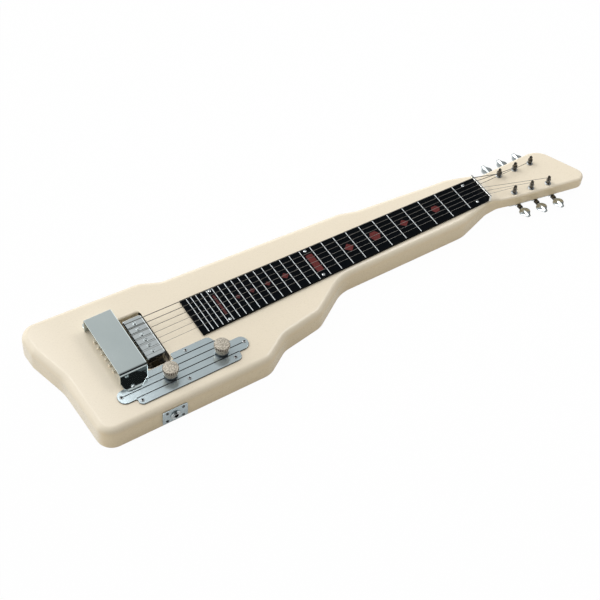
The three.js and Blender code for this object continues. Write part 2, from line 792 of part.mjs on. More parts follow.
function makeJackNut() {
  const face = jackPlate.thickness + 2 * seatGap;
  const inner = jack.bush + seatGap;
  return onControlSide(turned([
    [inner, face], [jackNut.radius, face], [jackNut.radius, face + jackNut.thickness],
    [inner, face + jackNut.thickness], [inner, face],
  ]), 0);
}

// Tuning machines: bushing above, plate below, post with its gear, shaft with its worm and button

const plateUnderZ = headUnderZ - seatGap - tunerPlate.thickness;
const wormZ = plateUnderZ - seatGap - worm.radius;
const gearTopZ = wormZ + gear.thickness / 2;

function makeBushing(row, i) {
  const spot = postPlace(row, i);
  const inner = post.radius + seatGap;
  const bottom = headTopZ - body.headThickness / 2;
  const seat = headTopZ + seatGap;
  const ring = turned([
    [inner, bottom], [bushing.radius, bottom], [bushing.radius, seat],
    [bushing.flangeRadius, seat], [bushing.flangeRadius, seat + bushing.flange / 2],
    [bushing.radius, seat + bushing.flange], [inner, seat + bushing.flange], [inner, bottom],
  ], smallSides);
  return ring.translate([spot.x, spot.y, 0]);
}

function gearShape() {
  const shape = new THREE.Shape();
  const points = gear.teeth * 4;
  for (let k = 0; k < points; k += 1) {
    const radius = k % 4 < 2 ? gear.radius : gear.radius - gear.tooth;
    const angle = (2 * Math.PI * k) / points;
    const x = radius * Math.cos(angle);
    const y = radius * Math.sin(angle);
    if (k === 0) shape.moveTo(x, y);
    else shape.lineTo(x, y);
  }
  shape.closePath();
  return shape;
}

function makePost(row, i) {
  const spot = postPlace(row, i);
  const top = headTopZ + post.rise;
  const stem = turned([
    [0, gearTopZ - gear.thickness], [post.radius, gearTopZ - gear.thickness],
    [post.radius, top - post.slotWidth], [post.radius - post.slotWidth / 2, top], [0, top],
  ], smallSides);
  const half = post.slotWidth / 2;
  const slot = block(-gear.radius, gear.radius, -half, half, top - post.slotDepth, top + overcut);
  const wheel = prism(gearShape(), gearTopZ - gear.thickness, gearTopZ);
  return cut(union(stem, wheel), slot).translate([spot.x, spot.y, 0]);
}

// Each machine is drawn with its post on the origin and its button towards +Y, then moved to its
// post. Near machines are mirrored about X.
function atPost(row, i, solid) {
  const spot = postPlace(row, i);
  const facing = row.out > 0 ? solid : solid.mirror([0, 1, 0]);
  return facing.translate([spot.x, spot.y, 0]);
}

function shaftLine(solid) {
  return solid.rotate([-90, 0, 0]).translate([worm.offset, 0, wormZ]);
}

function wormProfile() {
  const half = worm.length / 2;
  const points = [[worm.shaft, -half]];
  for (let k = 0; k < worm.turns; k += 1) {
    const start = -half + (worm.length * k) / worm.turns;
    const crest = start + worm.length / worm.turns / 2;
    points.push([worm.radius - worm.thread, start], [worm.radius, crest]);
  }
  points.push([worm.radius - worm.thread, half], [worm.shaft, half]);
  return points;
}

function makeButton(row, i) {
  const inner = -worm.length / 2 - tunerPlate.lug - tunerPlate.lugTail;
  const neckStart = row.reach - button.length / 2;
  const collarEnd = collar.start + collar.length;
  const tip = row.reach + button.length / 2 - button.neck;
  const stem = shaftLine(turned([
    [0, inner], [worm.shaft, inner], ...wormProfile(), [worm.shaft, collar.start],
    [collar.radius, collar.start], [collar.radius, collarEnd], [worm.shaft, collarEnd + collar.taper],
    [worm.shaft, neckStart], [button.spine, neckStart + button.neck], [button.spine, tip - button.neck],
    [button.spineEdge, tip], [0, tip],
  ], smallSides));
  return atPost(row, i, union(stem, buttonPaddle(row)));
}

function buttonPaddle(row) {
  const half = buttonShares.map(([across, along]) => (
    new THREE.Vector2((across * button.width) / 2, (along * button.length) / 2)));
  const mirrored = half.map((point) => new THREE.Vector2(-point.x, point.y)).reverse();
  const outline = new THREE.Shape([...half, ...mirrored]);
  const paddle = prism(outline, -button.thickness / 2, button.thickness / 2, button.bevel);
  return paddle.translate([worm.offset, row.reach, wormZ]);
}

function tunerLug(side) {
  const bottom = wormZ - worm.radius;
  const lug = block(worm.offset - tunerPlate.lugWidth / 2, worm.offset + tunerPlate.lugWidth / 2,
    side, side + tunerPlate.lug, bottom, plateUnderZ + tunerPlate.thickness / 2);
  const eye = shaftLine(hole(0, 0, side - overcut, side + tunerPlate.lug + overcut, worm.shaft + seatGap));
  return cut(lug, eye);
}

// One strip under a whole row of posts, with two lugs for each worm
function makeTunerPlate(row) {
  const indexes = stringIndexes(row);
  const first = row.out > 0 ? indexes[0] : indexes.at(-1);
  const start = postPlace(row, first);
  const last = tunerPitch * (indexes.length - 1);
  const halfWidth = tunerPlate.width / 2;
  const strip = prism(rectangle(-tunerPlate.overhang, last + worm.offset + tunerPlate.overhang,
    -halfWidth, halfWidth, halfWidth / 2), plateUnderZ, plateUnderZ + tunerPlate.thickness);
  const laid = strip.rotate([0, 0, -row.turn]).translate([start.x, start.y, 0]);
  const lugGap = worm.length / 2 + seatGap;
  const lugs = [lugGap, -lugGap - tunerPlate.lug].flatMap((side) => (
    indexes.map((i) => atPost(row, i, tunerLug(side)))));
  const postHoles = indexes.map((i) => atPost(row, i, hole(0, 0, plateUnderZ - overcut,
    plateUnderZ + tunerPlate.thickness + overcut, post.radius + seatGap)));
  return cut(union(laid, ...lugs), ...postHoles);
}

// Assembly

addPiece('body', makeBody(), 'lacquer');
addPiece('fretboard', makeBoard(), 'blackBoard');
addPiece('nut', makeNut(), 'chrome');
addPiece('bridge_plate', makeBridge(), 'chrome');
addPiece('saddle', makeSaddle(), 'steel');
addPiece('bridge_cover', makeCover(), 'chrome');
addPiece('pickup_base', makePickupBase(), 'brass');
addPiece('pickup_coil', makeCoil(), 'blackPlastic');
addPiece('pickup_cover', makePickupCover(), 'chrome');
addPiece('control_plate', makeControlPlate(), 'chrome');
addPiece('jack_plate', makeJackPlate(), 'chrome');
addPiece('jack_socket', makeJackSocket(), 'steel');
addPiece('jack_nut', makeJackNut(), 'chrome');

controls.forEach((control) => {
  addPiece(`${control.name}_pot`, makePotHousing(control), 'steel');
  addPiece(`${control.name}_pot_shaft`, makePotShaft(control), 'brass');
  addPiece(`${control.name}_knob`, makeKnob(control), 'chrome');
});

plateScrews.forEach((spot, i) => addPiece(`plate_screw_${i + 1}`, makePlateScrew(spot), 'chrome'));

tunerRows.forEach((row) => {
  addPiece(`tuner_plate_${row.name}`, makeTunerPlate(row), 'chrome');
  stringIndexes(row).forEach((i) => {
    const number = stringCount - i;
    addPiece(`string_${number}`, makeString(row, i), 'steel');
    addPiece(`pole_screw_${number}`, makePole(i), 'chrome');
    addPiece(`tuner_bushing_${number}`, makeBushing(row, i), 'chrome');
    addPiece(`tuner_post_${number}`, makePost(row, i), 'chrome');
    addPiece(`tuner_button_${number}`, makeButton(row, i), 'chrome');
  });
});

export default guitar;
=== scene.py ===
"""Lap steel guitar lying flat on a pale table with its strings up.

X runs along the strings towards the headstock, Y towards the player, Z up.
A station is a distance from the front of the nut towards the bridge.
"""
import math

import bmesh
import bpy
from mathutils import Matrix, Vector


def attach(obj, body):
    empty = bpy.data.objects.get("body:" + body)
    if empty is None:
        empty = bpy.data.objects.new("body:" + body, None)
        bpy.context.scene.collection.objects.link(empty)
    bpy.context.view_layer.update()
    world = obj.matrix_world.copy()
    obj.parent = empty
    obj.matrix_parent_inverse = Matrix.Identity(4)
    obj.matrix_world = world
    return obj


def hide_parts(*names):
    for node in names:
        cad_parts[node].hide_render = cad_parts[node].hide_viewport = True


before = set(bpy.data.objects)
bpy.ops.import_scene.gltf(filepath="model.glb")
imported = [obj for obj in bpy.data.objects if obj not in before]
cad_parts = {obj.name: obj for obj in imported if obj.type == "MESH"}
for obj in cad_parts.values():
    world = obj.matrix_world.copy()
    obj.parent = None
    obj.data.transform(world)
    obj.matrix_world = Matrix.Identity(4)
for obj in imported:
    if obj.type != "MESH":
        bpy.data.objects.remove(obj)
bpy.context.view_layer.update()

# Camera: a long lens high above the control side, off the tail end of the body, rolled a little
# so that the instrument runs up to the right.
MM = 0.001
CAMERA_SPOT = Vector((-760.3, -975.4, 1471)) * MM
CAMERA_AIM = Vector((-73, -42.7, 38)) * MM
CAMERA_ROLL = math.radians(5.4)

camera = bpy.data.objects.new("camera", bpy.data.cameras.new("camera"))
camera.data.lens = 84
camera.data.sensor_width = 36
camera.location = CAMERA_SPOT
aimed = (CAMERA_AIM - CAMERA_SPOT).to_track_quat("-Z", "Y").to_matrix()
camera.rotation_euler = (aimed @ Matrix.Rotation(CAMERA_ROLL, 3, "Z")).to_euler()
bpy.context.scene.collection.objects.link(camera)
bpy.context.scene.camera = camera
bpy.context.scene.view_settings.view_transform = "Standard"


# Body: one plank of hardwood under thick cream lacquer. The bouts step in twice on each side, the
# neck thins into a slanted headstock through a curved step above and a heel below, and the top
# edge is rounded over. The rout for the pickup has a softened rim where the lacquer pools.
NUT_X = 254.25
SADDLE = 571.5
CONTROL_SIDE = -106.8
TOP = 38.0
HEAD_TOP = 31.0
HEAD_UNDER = 13.0
EDGE_ROUND = 10.0
FOOT_ROUND = 6.0
HEAD_SHARE = 0.4
RIM_ROUND = 0.9
FAR_RIM = 3.0
STEP_DOWN = (-4, -26)
HEEL = (66, -26)
BODY_CORNERS = [
    (SADDLE + 76.7, -107, 22),
    (SADDLE + 80.7, -4, 70),
    (SADDLE + 97, 54, 16),
    (SADDLE + 99.5, 98.4, 23),
    (497.2, 90.3, 26),
    (469.8, 78.4, 26),
    (197.2, 65, 24),
    (173.7, 58.3, 24),
    (30, 44.4, 30),
    (-14, 28.9, 26),
    (-131, 32, 30),
    (-171, -52.4, 13),
    (-46, -31, 30),
    (-18, -24.4, 18),
    (2, -24.4, 26),
    (50, -37.7, 36),
    (256, -37.9, 50),
    (312, -74, 34),
    (374, -84, 30),
    (409, -106.8, 30),
]
ROUT_X = (NUT_X - 553, NUT_X - 519.3)
ROUT_HALF = 44.5
ROUT_DEPTH = 14
ROUT_FAR_END = 37
WELL = {"back": 592, "front": 444, "sides": (-78.4, -52), "floor": 9}
JACK_BORE = {"x": NUT_X - 550.6, "side": -91, "z": 19.4, "radius": 8.6, "depth": 40}
ABOVE = 2


class Wire:
    """A shader socket that sums can be written on."""

    def __init__(self, finish, socket):
        self.finish = finish
        self.socket = socket

    def sum(self, operation, *values):
        return self.finish.node("Math", {"operation": operation}, values)

    def __add__(self, other):
        return self.sum("ADD", self, other)

    def __sub__(self, other):
        return self.sum("SUBTRACT", self, other)

    def __rsub__(self, other):
        return self.sum("SUBTRACT", other, self)

    def __mul__(self, other):
        return self.sum("MULTIPLY", self, other)

    def __gt__(self, other):
        return self.sum("GREATER_THAN", self, other)

    def __lt__(self, other):
        return self.sum("LESS_THAN", self, other)

    __radd__ = __add__
    __rmul__ = __mul__

    def between(self, low, high):
        """0 below low, 1 above high, smooth in between."""
        limits = {0: self, 1: low, 2: high}
        return self.finish.node("MapRange", {"interpolation_type": "SMOOTHSTEP"}, limits)


class Nodes:
    """A node tree that nodes are added to."""

    def __init__(self, tree):
        self.tree = tree

    def fill(self, node, values):
        pairs = values.items() if isinstance(values, dict) else enumerate(values)
        for key, value in pairs:
            if isinstance(value, Wire):
                self.tree.links.new(value.socket, node.inputs[key])
            else:
                node.inputs[key].default_value = value

    def node(self, kind, settings=None, values=(), output=0):
        """Adds a node: its settings first, then the values or links of its sockets."""
        node = self.tree.nodes.new("ShaderNode" + kind)
        for key, value in (settings or {}).items():
            setattr(node, key, value)
        self.fill(node, values)
        return Wire(self, node.outputs[output])

    def place(self):
        return self.node("TexCoord", output="Object")

    def axes(self, vector):
        """X, Y and Z of a vector."""
        split = self.node("SeparateXYZ", None, [vector]).socket.node
        return [Wire(self, output) for output in split.outputs]

    def stretched(self, x, y, z):
        """Object place, scaled along each axis."""
        return self.node("VectorMath", {"operation": "MULTIPLY"}, (self.place(), (x, y, z)))

    def from_middle(self):
        """Distance from the middle of a small round piece, in widths."""
        place = self.node("TexCoord", output="Generated")
        flat = self.node("VectorMath", {"operation": "MULTIPLY"}, (place, (1, 1, 0)))
        return self.node("VectorMath", {"operation": "DISTANCE"}, (flat, (0.5, 0.5, 0)), "Value")

    def noise(self, scale, detail=3, place=None):
        values = {"Vector": place or self.place(), "Scale": scale, "Detail": detail}
        return self.node("TexNoise", None, values)

    def blend(self, share, first, second):
        """Colour between first and second."""
        values = {0: share, 6: first, 7: second}
        return self.node("Mix", {"data_type": "RGBA"}, values, output=2)


class Finish(Nodes):
    """One material: its shader's own values, and what varies over the surface."""

    def __init__(self, name, values):
        self.material = bpy.data.materials.new(name)
        self.material.use_nodes = True
        super().__init__(self.material.node_tree)
        self.shader = self.tree.nodes["Principled BSDF"]
        self.fill(self.shader, values)

    def relief(self, height, distance, strength):
        values = {"Height": height, "Distance": distance, "Strength": strength}
        self.fill(self.shader, {"Normal": self.node("Bump", None, values)})


def colour(red, green, blue):
    """Colour written as 0 to 255, as the shader wants it."""
    linear = [((c / 255 + 0.055) / 1.055) ** 2.4 for c in (red, green, blue)]
    return (*linear, 1.0)


def rounded(corners, steps=8):
    """Closed outline in metres from (x, y, radius) corners in millimetres."""
    points = []
    for i, (x, y, radius) in enumerate(corners):
        here = Vector((x, y))
        back = (Vector(corners[i - 1][:2]) - here).normalized()
        ahead = (Vector(corners[(i + 1) % len(corners)][:2]) - here).normalized()
        if radius == 0:
            points.append(here * MM)
            continue
        half = back.angle(ahead) / 2
        centre = here + (back + ahead).normalized() * radius / math.sin(half)
        first = here + back * radius / math.tan(half) - centre
        last = here + ahead * radius / math.tan(half) - centre
        sweep = first.angle_signed(last)
        for k in range(steps + 1):
            turned = first.copy()
            turned.rotate(Matrix.Rotation(-sweep * k / steps, 2))
            points.append((centre + turned) * MM)
    return points


def from_stations(corners):
    """Corners given by station, as corners given by x."""
    return [(NUT_X - station, side, radius) for station, side, radius in corners]


def box_outline(x0, x1, y0, y1, radius=0.0, steps=6):
    corners = [(x0, y0, radius), (x1, y0, radius), (x1, y1, radius), (x0, y1, radius)]
    return rounded(corners, steps)


def inset(points, distance, shares=None):
    """The outline moved inwards, keeping its sides parallel."""
    area = sum(a.cross(b) for a, b in zip(points, points[1:] + points[:1]))
    turn = 1 if area > 0 else -1
    moved = []
    for i, here in enumerate(points):
        back = (here - points[i - 1]).normalized()
        ahead = (points[(i + 1) % len(points)] - here).normalized()
        across = Vector((-back.y - ahead.y, back.x + ahead.x)) * turn
        across.normalize()
        lean = max(across.dot(Vector((-back.y, back.x)) * turn), 0.3)
        share = shares[i] if shares else 1.0
        moved.append(here + across * distance * share / lean)
    return moved


def skin(rings, looped=False):
    """Solid from rings of places joined in turn. A ring of one place is a tip, and a looped skin
    joins its last ring to its first."""
    bm = bmesh.new()
    made = [[bm.verts.new(place) for place in ring] for ring in rings]
    sides = max(len(ring) for ring in made)
    for low, high in zip(made, made[1:] + made[: 1 if looped else 0]):
        for k in range(sides):
            n = (k + 1) % sides
            corners = (low[k % len(low)], low[n % len(low)],
                       high[n % len(high)], high[k % len(high)])
            unique = list(dict.fromkeys(corners))
            if len(unique) > 2:
                bm.faces.new(unique)
    if not looped:
        for end in (made[0][::-1], made[-1]):
            if len(end) > 2:
                bm.faces.new(end)
    bmesh.ops.recalc_face_normals(bm, faces=bm.faces)
    return bm


def stack(outline, levels, shares=None):
    """Closed solid of rings, each the outline drawn in by some millimetres at some height."""
    return skin([[(p.x, p.y, height * MM) for p in inset(outline, drawn_in * MM, shares)]
                 for drawn_in, height in levels])


def rounded_levels(low, high, radius, steps=4, foot=None):
    """Levels of a slab whose top and bottom edges are rounded."""
    foot = radius if foot is None else foot
    levels = []
    for r, start, sign in ((foot, low, 1), (radius, high, -1)):
        part = []
        for k in range(steps + 1):
            angle = math.pi / 2 * k / steps
            part.append((r - r * math.sin(angle), start + sign * (r - r * math.cos(angle))))
        levels += part if sign > 0 else part[::-1]
    return levels


def soften(bm, degrees=32):
    """Smooth faces with crisp edges where they meet sharply."""
    limit = math.radians(degrees)
    for face in bm.faces:
        face.smooth = True
    for edge in bm.edges:
        edge.smooth = len(edge.link_faces) == 2 and edge.calc_face_angle(0) < limit


def add_piece(name, bm, finish, body="instrument", stands_for=()):
    """A visible piece on its body, standing for the CAD nodes that it replaces."""
    soften(bm)
    mesh = bpy.data.meshes.new(name)
    bm.to_mesh(mesh)
    bm.free()
    piece = bpy.data.objects.new(name, mesh)
    bpy.context.scene.collection.objects.link(piece)
    mesh.materials.append(finish.material)
    even = piece.modifiers.new("even", "WEIGHTED_NORMAL")
    even.keep_sharp = True
    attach(piece, body)
    if stands_for:
        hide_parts(*stands_for)


def carve(bm, cutters):
    """The solid less the cutters."""
    def held(solid):
        mesh = bpy.data.meshes.new("carving")
        solid.to_mesh(mesh)
        solid.free()
        thing = bpy.data.objects.new("carving", mesh)
        bpy.context.scene.collection.objects.link(thing)
        return thing

    block = held(bm)
    tools = [held(cutter) for cutter in cutters]
    for tool in tools:
        modifier = block.modifiers.new("cut", "BOOLEAN")
        modifier.operation = "DIFFERENCE"
        modifier.solver = "EXACT"
        modifier.object = tool
    carved = bmesh.new()
    carved.from_object(block, bpy.context.evaluated_depsgraph_get())
    for thing in [block, *tools]:
        mesh = thing.data
        bpy.data.objects.remove(thing)
        bpy.data.meshes.remove(mesh)
    return carved


def eased(value, start, end):
    """0 at start, 1 at end, smooth in between."""
    share = min(max((value - start) / (end - start), 0.0), 1.0)
    return share * share * (3 - 2 * share)


def top_level(station):
    return TOP + (HEAD_TOP - TOP) * eased(station, *STEP_DOWN)


def under_level(station):
    return HEAD_UNDER * eased(station, *HEEL)


def round_share(station):
    """How far the edge rounding has shrunk towards the headstock's."""
    return 1 + (HEAD_SHARE - 1) * eased(station, 60, -6)


def rim_levels(radius, steps):
    """Levels of a cutter that flares out at the top of the body and goes on above it."""
    levels = []
    for k in range(steps + 1):
        angle = math.pi / 2 * k / steps
        levels.append((-radius * (1 - math.cos(angle)), TOP - radius * (1 - math.sin(angle))))
    return levels + [(-radius, TOP + ABOVE)]


def rout_cutter():
    hole = box_outline(ROUT_X[0], ROUT_X[1], -ROUT_HALF, ROUT_HALF, 5)
    return stack(hole, [(0, TOP - ROUT_DEPTH)] + rim_levels(RIM_ROUND, 5))


def far_rim_cutter():
    """Rounds the far end of the rout more."""
    x0, x1 = ROUT_X
    end = rounded([(x0, ROUT_FAR_END, 0), (x1, ROUT_FAR_END, 0),
                   (x1, ROUT_HALF, 5), (x0, ROUT_HALF, 5)], 6)
    shares = [1.0 if p.y > (ROUT_HALF - 2) * MM else 0.2 for p in end]
    return stack(end, rim_levels(FAR_RIM, 6), shares)


def well_cutter():
    """Hollow under the control plate, for the pots."""
    hole = box_outline(NUT_X - WELL["back"], NUT_X - WELL["front"], *WELL["sides"], 8)
    return stack(hole, [(0, WELL["floor"]), (0, TOP + ABOVE)])


def circle(sides, radius, height, notch=0.0):
    """Ring of places about Z, or the place on Z where the radius is 0. A notch draws in two
    places of every six."""
    if radius == 0:
        return [(0, 0, height * MM)]
    ring = []
    for k in range(sides):
        angle = 2 * math.pi * k / sides
        r = (radius - (notch if k % 6 in (0, 1) else 0.0)) * MM
        ring.append((r * math.cos(angle), r * math.sin(angle), height * MM))
    return ring


def drill(radius, depth):
    """Round cutter about Z, its middle on the origin."""
    return skin([circle(32, radius, height) for height in (-depth / 2, depth / 2)])


def laid(bm, x, y, z):
    """Turned from Z to face the control side, then moved by millimetres."""
    bmesh.ops.rotate(bm, verts=bm.verts, matrix=Matrix.Rotation(math.pi / 2, 3, "X"))
    bmesh.ops.translate(bm, verts=bm.verts, vec=Vector((x, y, z)) * MM)
    return bm


outline = rounded(from_stations(BODY_CORNERS), 12)
shares = [round_share(NUT_X - p.x / MM) for p in outline]
plank = stack(outline, rounded_levels(0, TOP, EDGE_ROUND, 10, FOOT_ROUND), shares)
# Close sections across the neck let the heel and the step curve.
heel_cuts = [HEEL[0] - 4.6 * k for k in range(1, 20)]
step_cuts = [STEP_DOWN[0] - 1.8 * k for k in range(13)]
for station in heel_cuts + step_cuts:
    everything = plank.verts[:] + plank.edges[:] + plank.faces[:]
    spot = Vector((NUT_X - station, 0, 0)) * MM
    bmesh.ops.bisect_plane(plank, geom=everything, dist=1e-6, plane_co=spot, plane_no=(1, 0, 0))
for vert in plank.verts:
    station = NUT_X - vert.co.x / MM
    height = vert.co.z / MM
    share = round_share(station)
    if height > TOP / 2:
        vert.co.z = (top_level(station) - (TOP - height) * share) * MM
    else:
        vert.co.z = (under_level(station) + height * share) * MM
jack_bore = laid(drill(JACK_BORE["radius"], JACK_BORE["depth"]), JACK_BORE["x"], JACK_BORE["side"],
                 JACK_BORE["z"])
plank = carve(plank, [rout_cutter(), far_rim_cutter(), well_cutter(), jack_bore])

lacquer = Finish("cream_lacquer", {"Coat Weight": 0.2, "Coat Roughness": 0.12})
cloud = lacquer.noise(9, 2)
speck = lacquer.noise(260, 2)
cream = lacquer.blend(cloud, colour(239, 225, 201), colour(245, 232, 210))
cream = lacquer.blend(speck.between(0.66, 0.8) * 0.1, cream, colour(224, 206, 176))
face_x, face_y, face_z = lacquer.axes(lacquer.node("NewGeometry", output="Normal"))
# Painted shade: faces turned away from the top are painted a darker, warmer cream, most of all on
# the player's side.
sides = (1 - face_z.between(0.2, 0.95)) * (0.1 + (face_y * -1).between(0.1, 0.6) * 0.65)
cream = lacquer.blend(sides, cream, colour(236, 212, 168))

# Inside the rout the cream is painted brown low down as painted shade, the wall in front is
# painted near black as the shade in its narrow gap beside the pickup, and the near end is painted
# dark in streaks, painted shade for the pickup's end to reflect.
x, y, z = lacquer.axes(lacquer.place())
rout = (x > (ROUT_X[0] - 1) * MM) * (x < (ROUT_X[1] + 1) * MM)
rout = rout * (y > -(ROUT_HALF + 1) * MM) * (y < (ROUT_HALF + 1) * MM)
# Painted shade: brown low down in the rout.
painted_deep_shade = rout * (1 - z.between((TOP - 13) * MM, (TOP - 8) * MM))
cream = lacquer.blend(painted_deep_shade * 0.7, cream, colour(150, 128, 98))
# Painted shade: the wall in front, beside the pickup, is painted near black.
painted_gap_shade = rout * (face_x < -0.6) * (z < (TOP - 0.8) * MM) * (y > -36 * MM)
cream = lacquer.blend(painted_gap_shade, cream, colour(16, 14, 13))
# Painted shade: dark streaks on the rout's near end, for the pickup's chrome end to reflect.
streak = lacquer.noise(420, 2, place=lacquer.stretched(0.12, 1, 1)).between(0.45, 0.6)
painted_near_shade = lacquer.blend(streak, colour(34, 27, 21), colour(132, 114, 90))
near_end = rout * (y < -33 * MM) * (x < (ROUT_X[1] - 3.95) * MM) * (z < (TOP - 1) * MM)
cream = lacquer.blend(near_end, cream, painted_near_shade)
swirl = lacquer.noise(1400, 1, place=lacquer.stretched(0.25, 1, 1))
lacquer.fill(lacquer.shader, {"Base Color": cream, "Roughness": 0.22 + swirl * 0.14})
lacquer.relief(lacquer.noise(700, 2), 0.00002, 0.3)
add_piece("plank", plank, lacquer, stands_for=["body"])


# Fretboard: a thin black plate tapering towards the nut, screwed down at six points. Like all the
# fittings it sits on the thickness of the lacquer.
SEAT = 38.3
BOARD_END = 467.0
BOARD_TOP = 41.3
BOARD_HALF = (22.9, 31.7)


def board_half(station):
    """Half the board's width."""
    return BOARD_HALF[0] + (BOARD_HALF[1] - BOARD_HALF[0]) * station / BOARD_END


def tapered(front, back, front_half, back_half, radius):
    """Corners of a plate that lies along the middle."""
    return [(front, front_half, radius), (front, -front_half, radius),
            (back, -back_half, radius), (back, back_half, radius)]


def flat_piece(corners, low, high, edge, steps, rounding=2):
    """Plate from (station, side, radius) corners, with softened edges."""
    shape = rounded(from_stations(corners), steps)
    return stack(shape, rounded_levels(low, high, edge, rounding))


board_black = Finish("board_black", {"Specular IOR Level": 0.03})
grime = board_black.noise(60, 4)
scratch = board_black.noise(500, 2, place=board_black.stretched(0.06, 1, 1))
ink = board_black.blend(grime, colour(1, 5, 9), colour(5, 10, 15))
board_black.fill(board_black.shader, {
    "Base Color": board_black.blend(scratch.between(0.6, 0.8) * 0.3, ink, colour(20, 22, 24)),
    "Roughness": 0.3 + grime * 0.2,
})
board_black.relief(scratch, 0.00003, 0.4)
board = flat_piece(tapered(0.3, BOARD_END, *BOARD_HALF, 0.6), SEAT, BOARD_TOP, 0.3, 3)
add_piece("board", board, board_black, stands_for=["fretboard"])


# Fret lines: white bars painted across the board, closer and closer towards the bridge, each
# stopping just short of the board's edges.
FRETS = 28
LINE_WIDTH = 1.0
LINE_HEIGHT = 0.08
LINE_MARGIN = 0.7


def fret_station(number):
    """Equal steps of an octave: twelve of them halve the string."""
    return SADDLE * (1 - 2 ** (-number / 12))


line_white = Finish("line_white", {"Specular IOR Level": 0.2})
wear = line_white.noise(900, 3)
line_white.fill(line_white.shader, {
    "Base Color": line_white.blend(wear.between(0.45, 0.8), colour(238, 243, 244),
                                   colour(196, 204, 208)),
    "Roughness": 0.3 + wear * 0.2,
})
for number in range(1, FRETS + 1):
    station = fret_station(number)
    reach = board_half(station) - LINE_MARGIN
    front, back = station - LINE_WIDTH / 2, station + LINE_WIDTH / 2
    line = flat_piece(tapered(front, back, reach, reach, 0), BOARD_TOP, BOARD_TOP + LINE_HEIGHT,
                      0.03, 1, 1)
    add_piece(f"fret_line_{number:02d}", line, line_white)


# Position markers: dull red inlays between the lines, lozenges and hexagons along the middle and
# a long block at each octave.
MARKER_HEIGHT = 0.05
LOZENGE = [(1, 0), (0, 1), (-1, 0), (0, -1)]
HEXAGON = [(1, 0.1), (0.45, 1), (-0.55, 1), (-1, 0.1), (-0.55, -1), (0.45, -1)]
BLOCK = [(1, 0.94), (0.4, 1), (-0.4, 1), (-1, 0.94),
         (-1, -0.94), (-0.4, -1), (0.4, -1), (1, -0.94)]
MARKERS = [  # number of the space, shape, half length, half width
    (3, HEXAGON, 6.8, 5.6),
    (5, LOZENGE, 7.2, 6.4),
    (7, HEXAGON, 8.3, 7.6),
    (9, LOZENGE, 7.2, 7.2),
    (12, BLOCK, 5.0, 16.2),
    (15, LOZENGE, 5.4, 5.2),
    (17, LOZENGE, 4.2, 3.9),
    (19, LOZENGE, 4.2, 4.2),
    (21, LOZENGE, 3.5, 3.9),
    (24, BLOCK, 1.7, 18.0),
]

marker_red = Finish("marker_red", {"Specular IOR Level": 0.2})
fleck = marker_red.noise(700, 3)
along = marker_red.axes(marker_red.place())[0]
faded = (1 - along.between(-0.13, -0.05)) * 0.45
red = marker_red.blend(fleck.between(0.35, 0.7), colour(84, 30, 30), colour(120, 48, 46))
marker_red.fill(marker_red.shader, {
    "Base Color": marker_red.blend(faded, red, colour(38, 22, 24)),
    "Roughness": 0.32 + fleck * 0.2,
})
for number, shape, half_length, half_width in MARKERS:
    middle = (fret_station(number - 1) + fret_station(number)) / 2
    corners = [(middle - a * half_length, b * half_width, 0.5) for a, b in shape]
    marker = flat_piece(corners, BOARD_TOP, BOARD_TOP + MARKER_HEIGHT, 0.02, 3, 1)
    add_piece(f"marker_{number:02d}", marker, marker_red)


# Board screws: six small nickelled screws with domed heads and a cross, their crowns painted dark
# in the middle as the shade in the cross.
BOARD_SCREWS = [(16.3, 17.5), (16.3, -17.5), (278, 23.3),
                (278, -23.3), (424.8, 26.8), (424.8, -26.8)]


def turned(profile, sides=32):
    """Solid turned about Z from (radius, height) points, with a notch where a point has a third
    value."""
    return skin([circle(sides, *point) for point in profile])


def screw_head(radius, height, slot_width):
    """Domed head with a cross sunk in its crown."""
    rim = 0.1
    dome = [(0, -0.2), (radius, -0.2), (radius, rim)]
    dome += [(radius * math.cos(a), rim + (height - rim) * math.sin(a))
             for a in (math.pi / 2 * k / 5 for k in range(1, 5))]
    head = turned(dome + [(0, height)], 28)
    arm, depth = radius * 0.62, height * 0.85
    bars = [stack(box_outline(-a, a, -b, b), [(0, height - depth), (0, height + 1)])
            for a, b in ((arm, slot_width / 2), (slot_width / 2, arm))]
    return carve(head, bars)


def moved(bm, x, y, z, turn=0.0):
    """Turned about Z, then moved by millimetres."""
    bmesh.ops.rotate(bm, verts=bm.verts, matrix=Matrix.Rotation(turn, 3, "Z"))
    bmesh.ops.translate(bm, verts=bm.verts, vec=Vector((x, y, z)) * MM)
    return bm


ringed = Finish("ringed_screw", {"Metallic": 1.0})
scuff = ringed.noise(800, 3)
# Painted shade: the middle of each head is dark where the cross is sunk.
ringed.fill(ringed.shader, {
    "Base Color": ringed.blend(ringed.from_middle().between(0.18, 0.25), colour(34, 35, 38),
                               ringed.blend(scuff, colour(232, 236, 238), colour(206, 210, 212))),
    "Roughness": 0.12 + scuff * 0.12,
})

for i, (station, side) in enumerate(BOARD_SCREWS):
    head = moved(screw_head(2.3, 0.9, 0.8), NUT_X - station, side, BOARD_TOP, 0.4 + i)
    add_piece(f"board_screw_{i + 1}", head, ringed)


# Nut: a bright metal bar across the end of the board, slotted for six strings. The thickest comes
# first in the list, on the player's side, though it is string 6.
STRING_RADII = [0.52, 0.44, 0.36, 0.3, 0.25, 0.22]
NUT_TOP = 48.6
NUT_LONG = 3.4
NUT_HALF = 23.7
NUT_PITCH = 7.2
STRING_AT_NUT = 47.4


def string_side(pitch, i):
    """Where a string lies across the instrument."""
    return (2.5 - i) * pitch


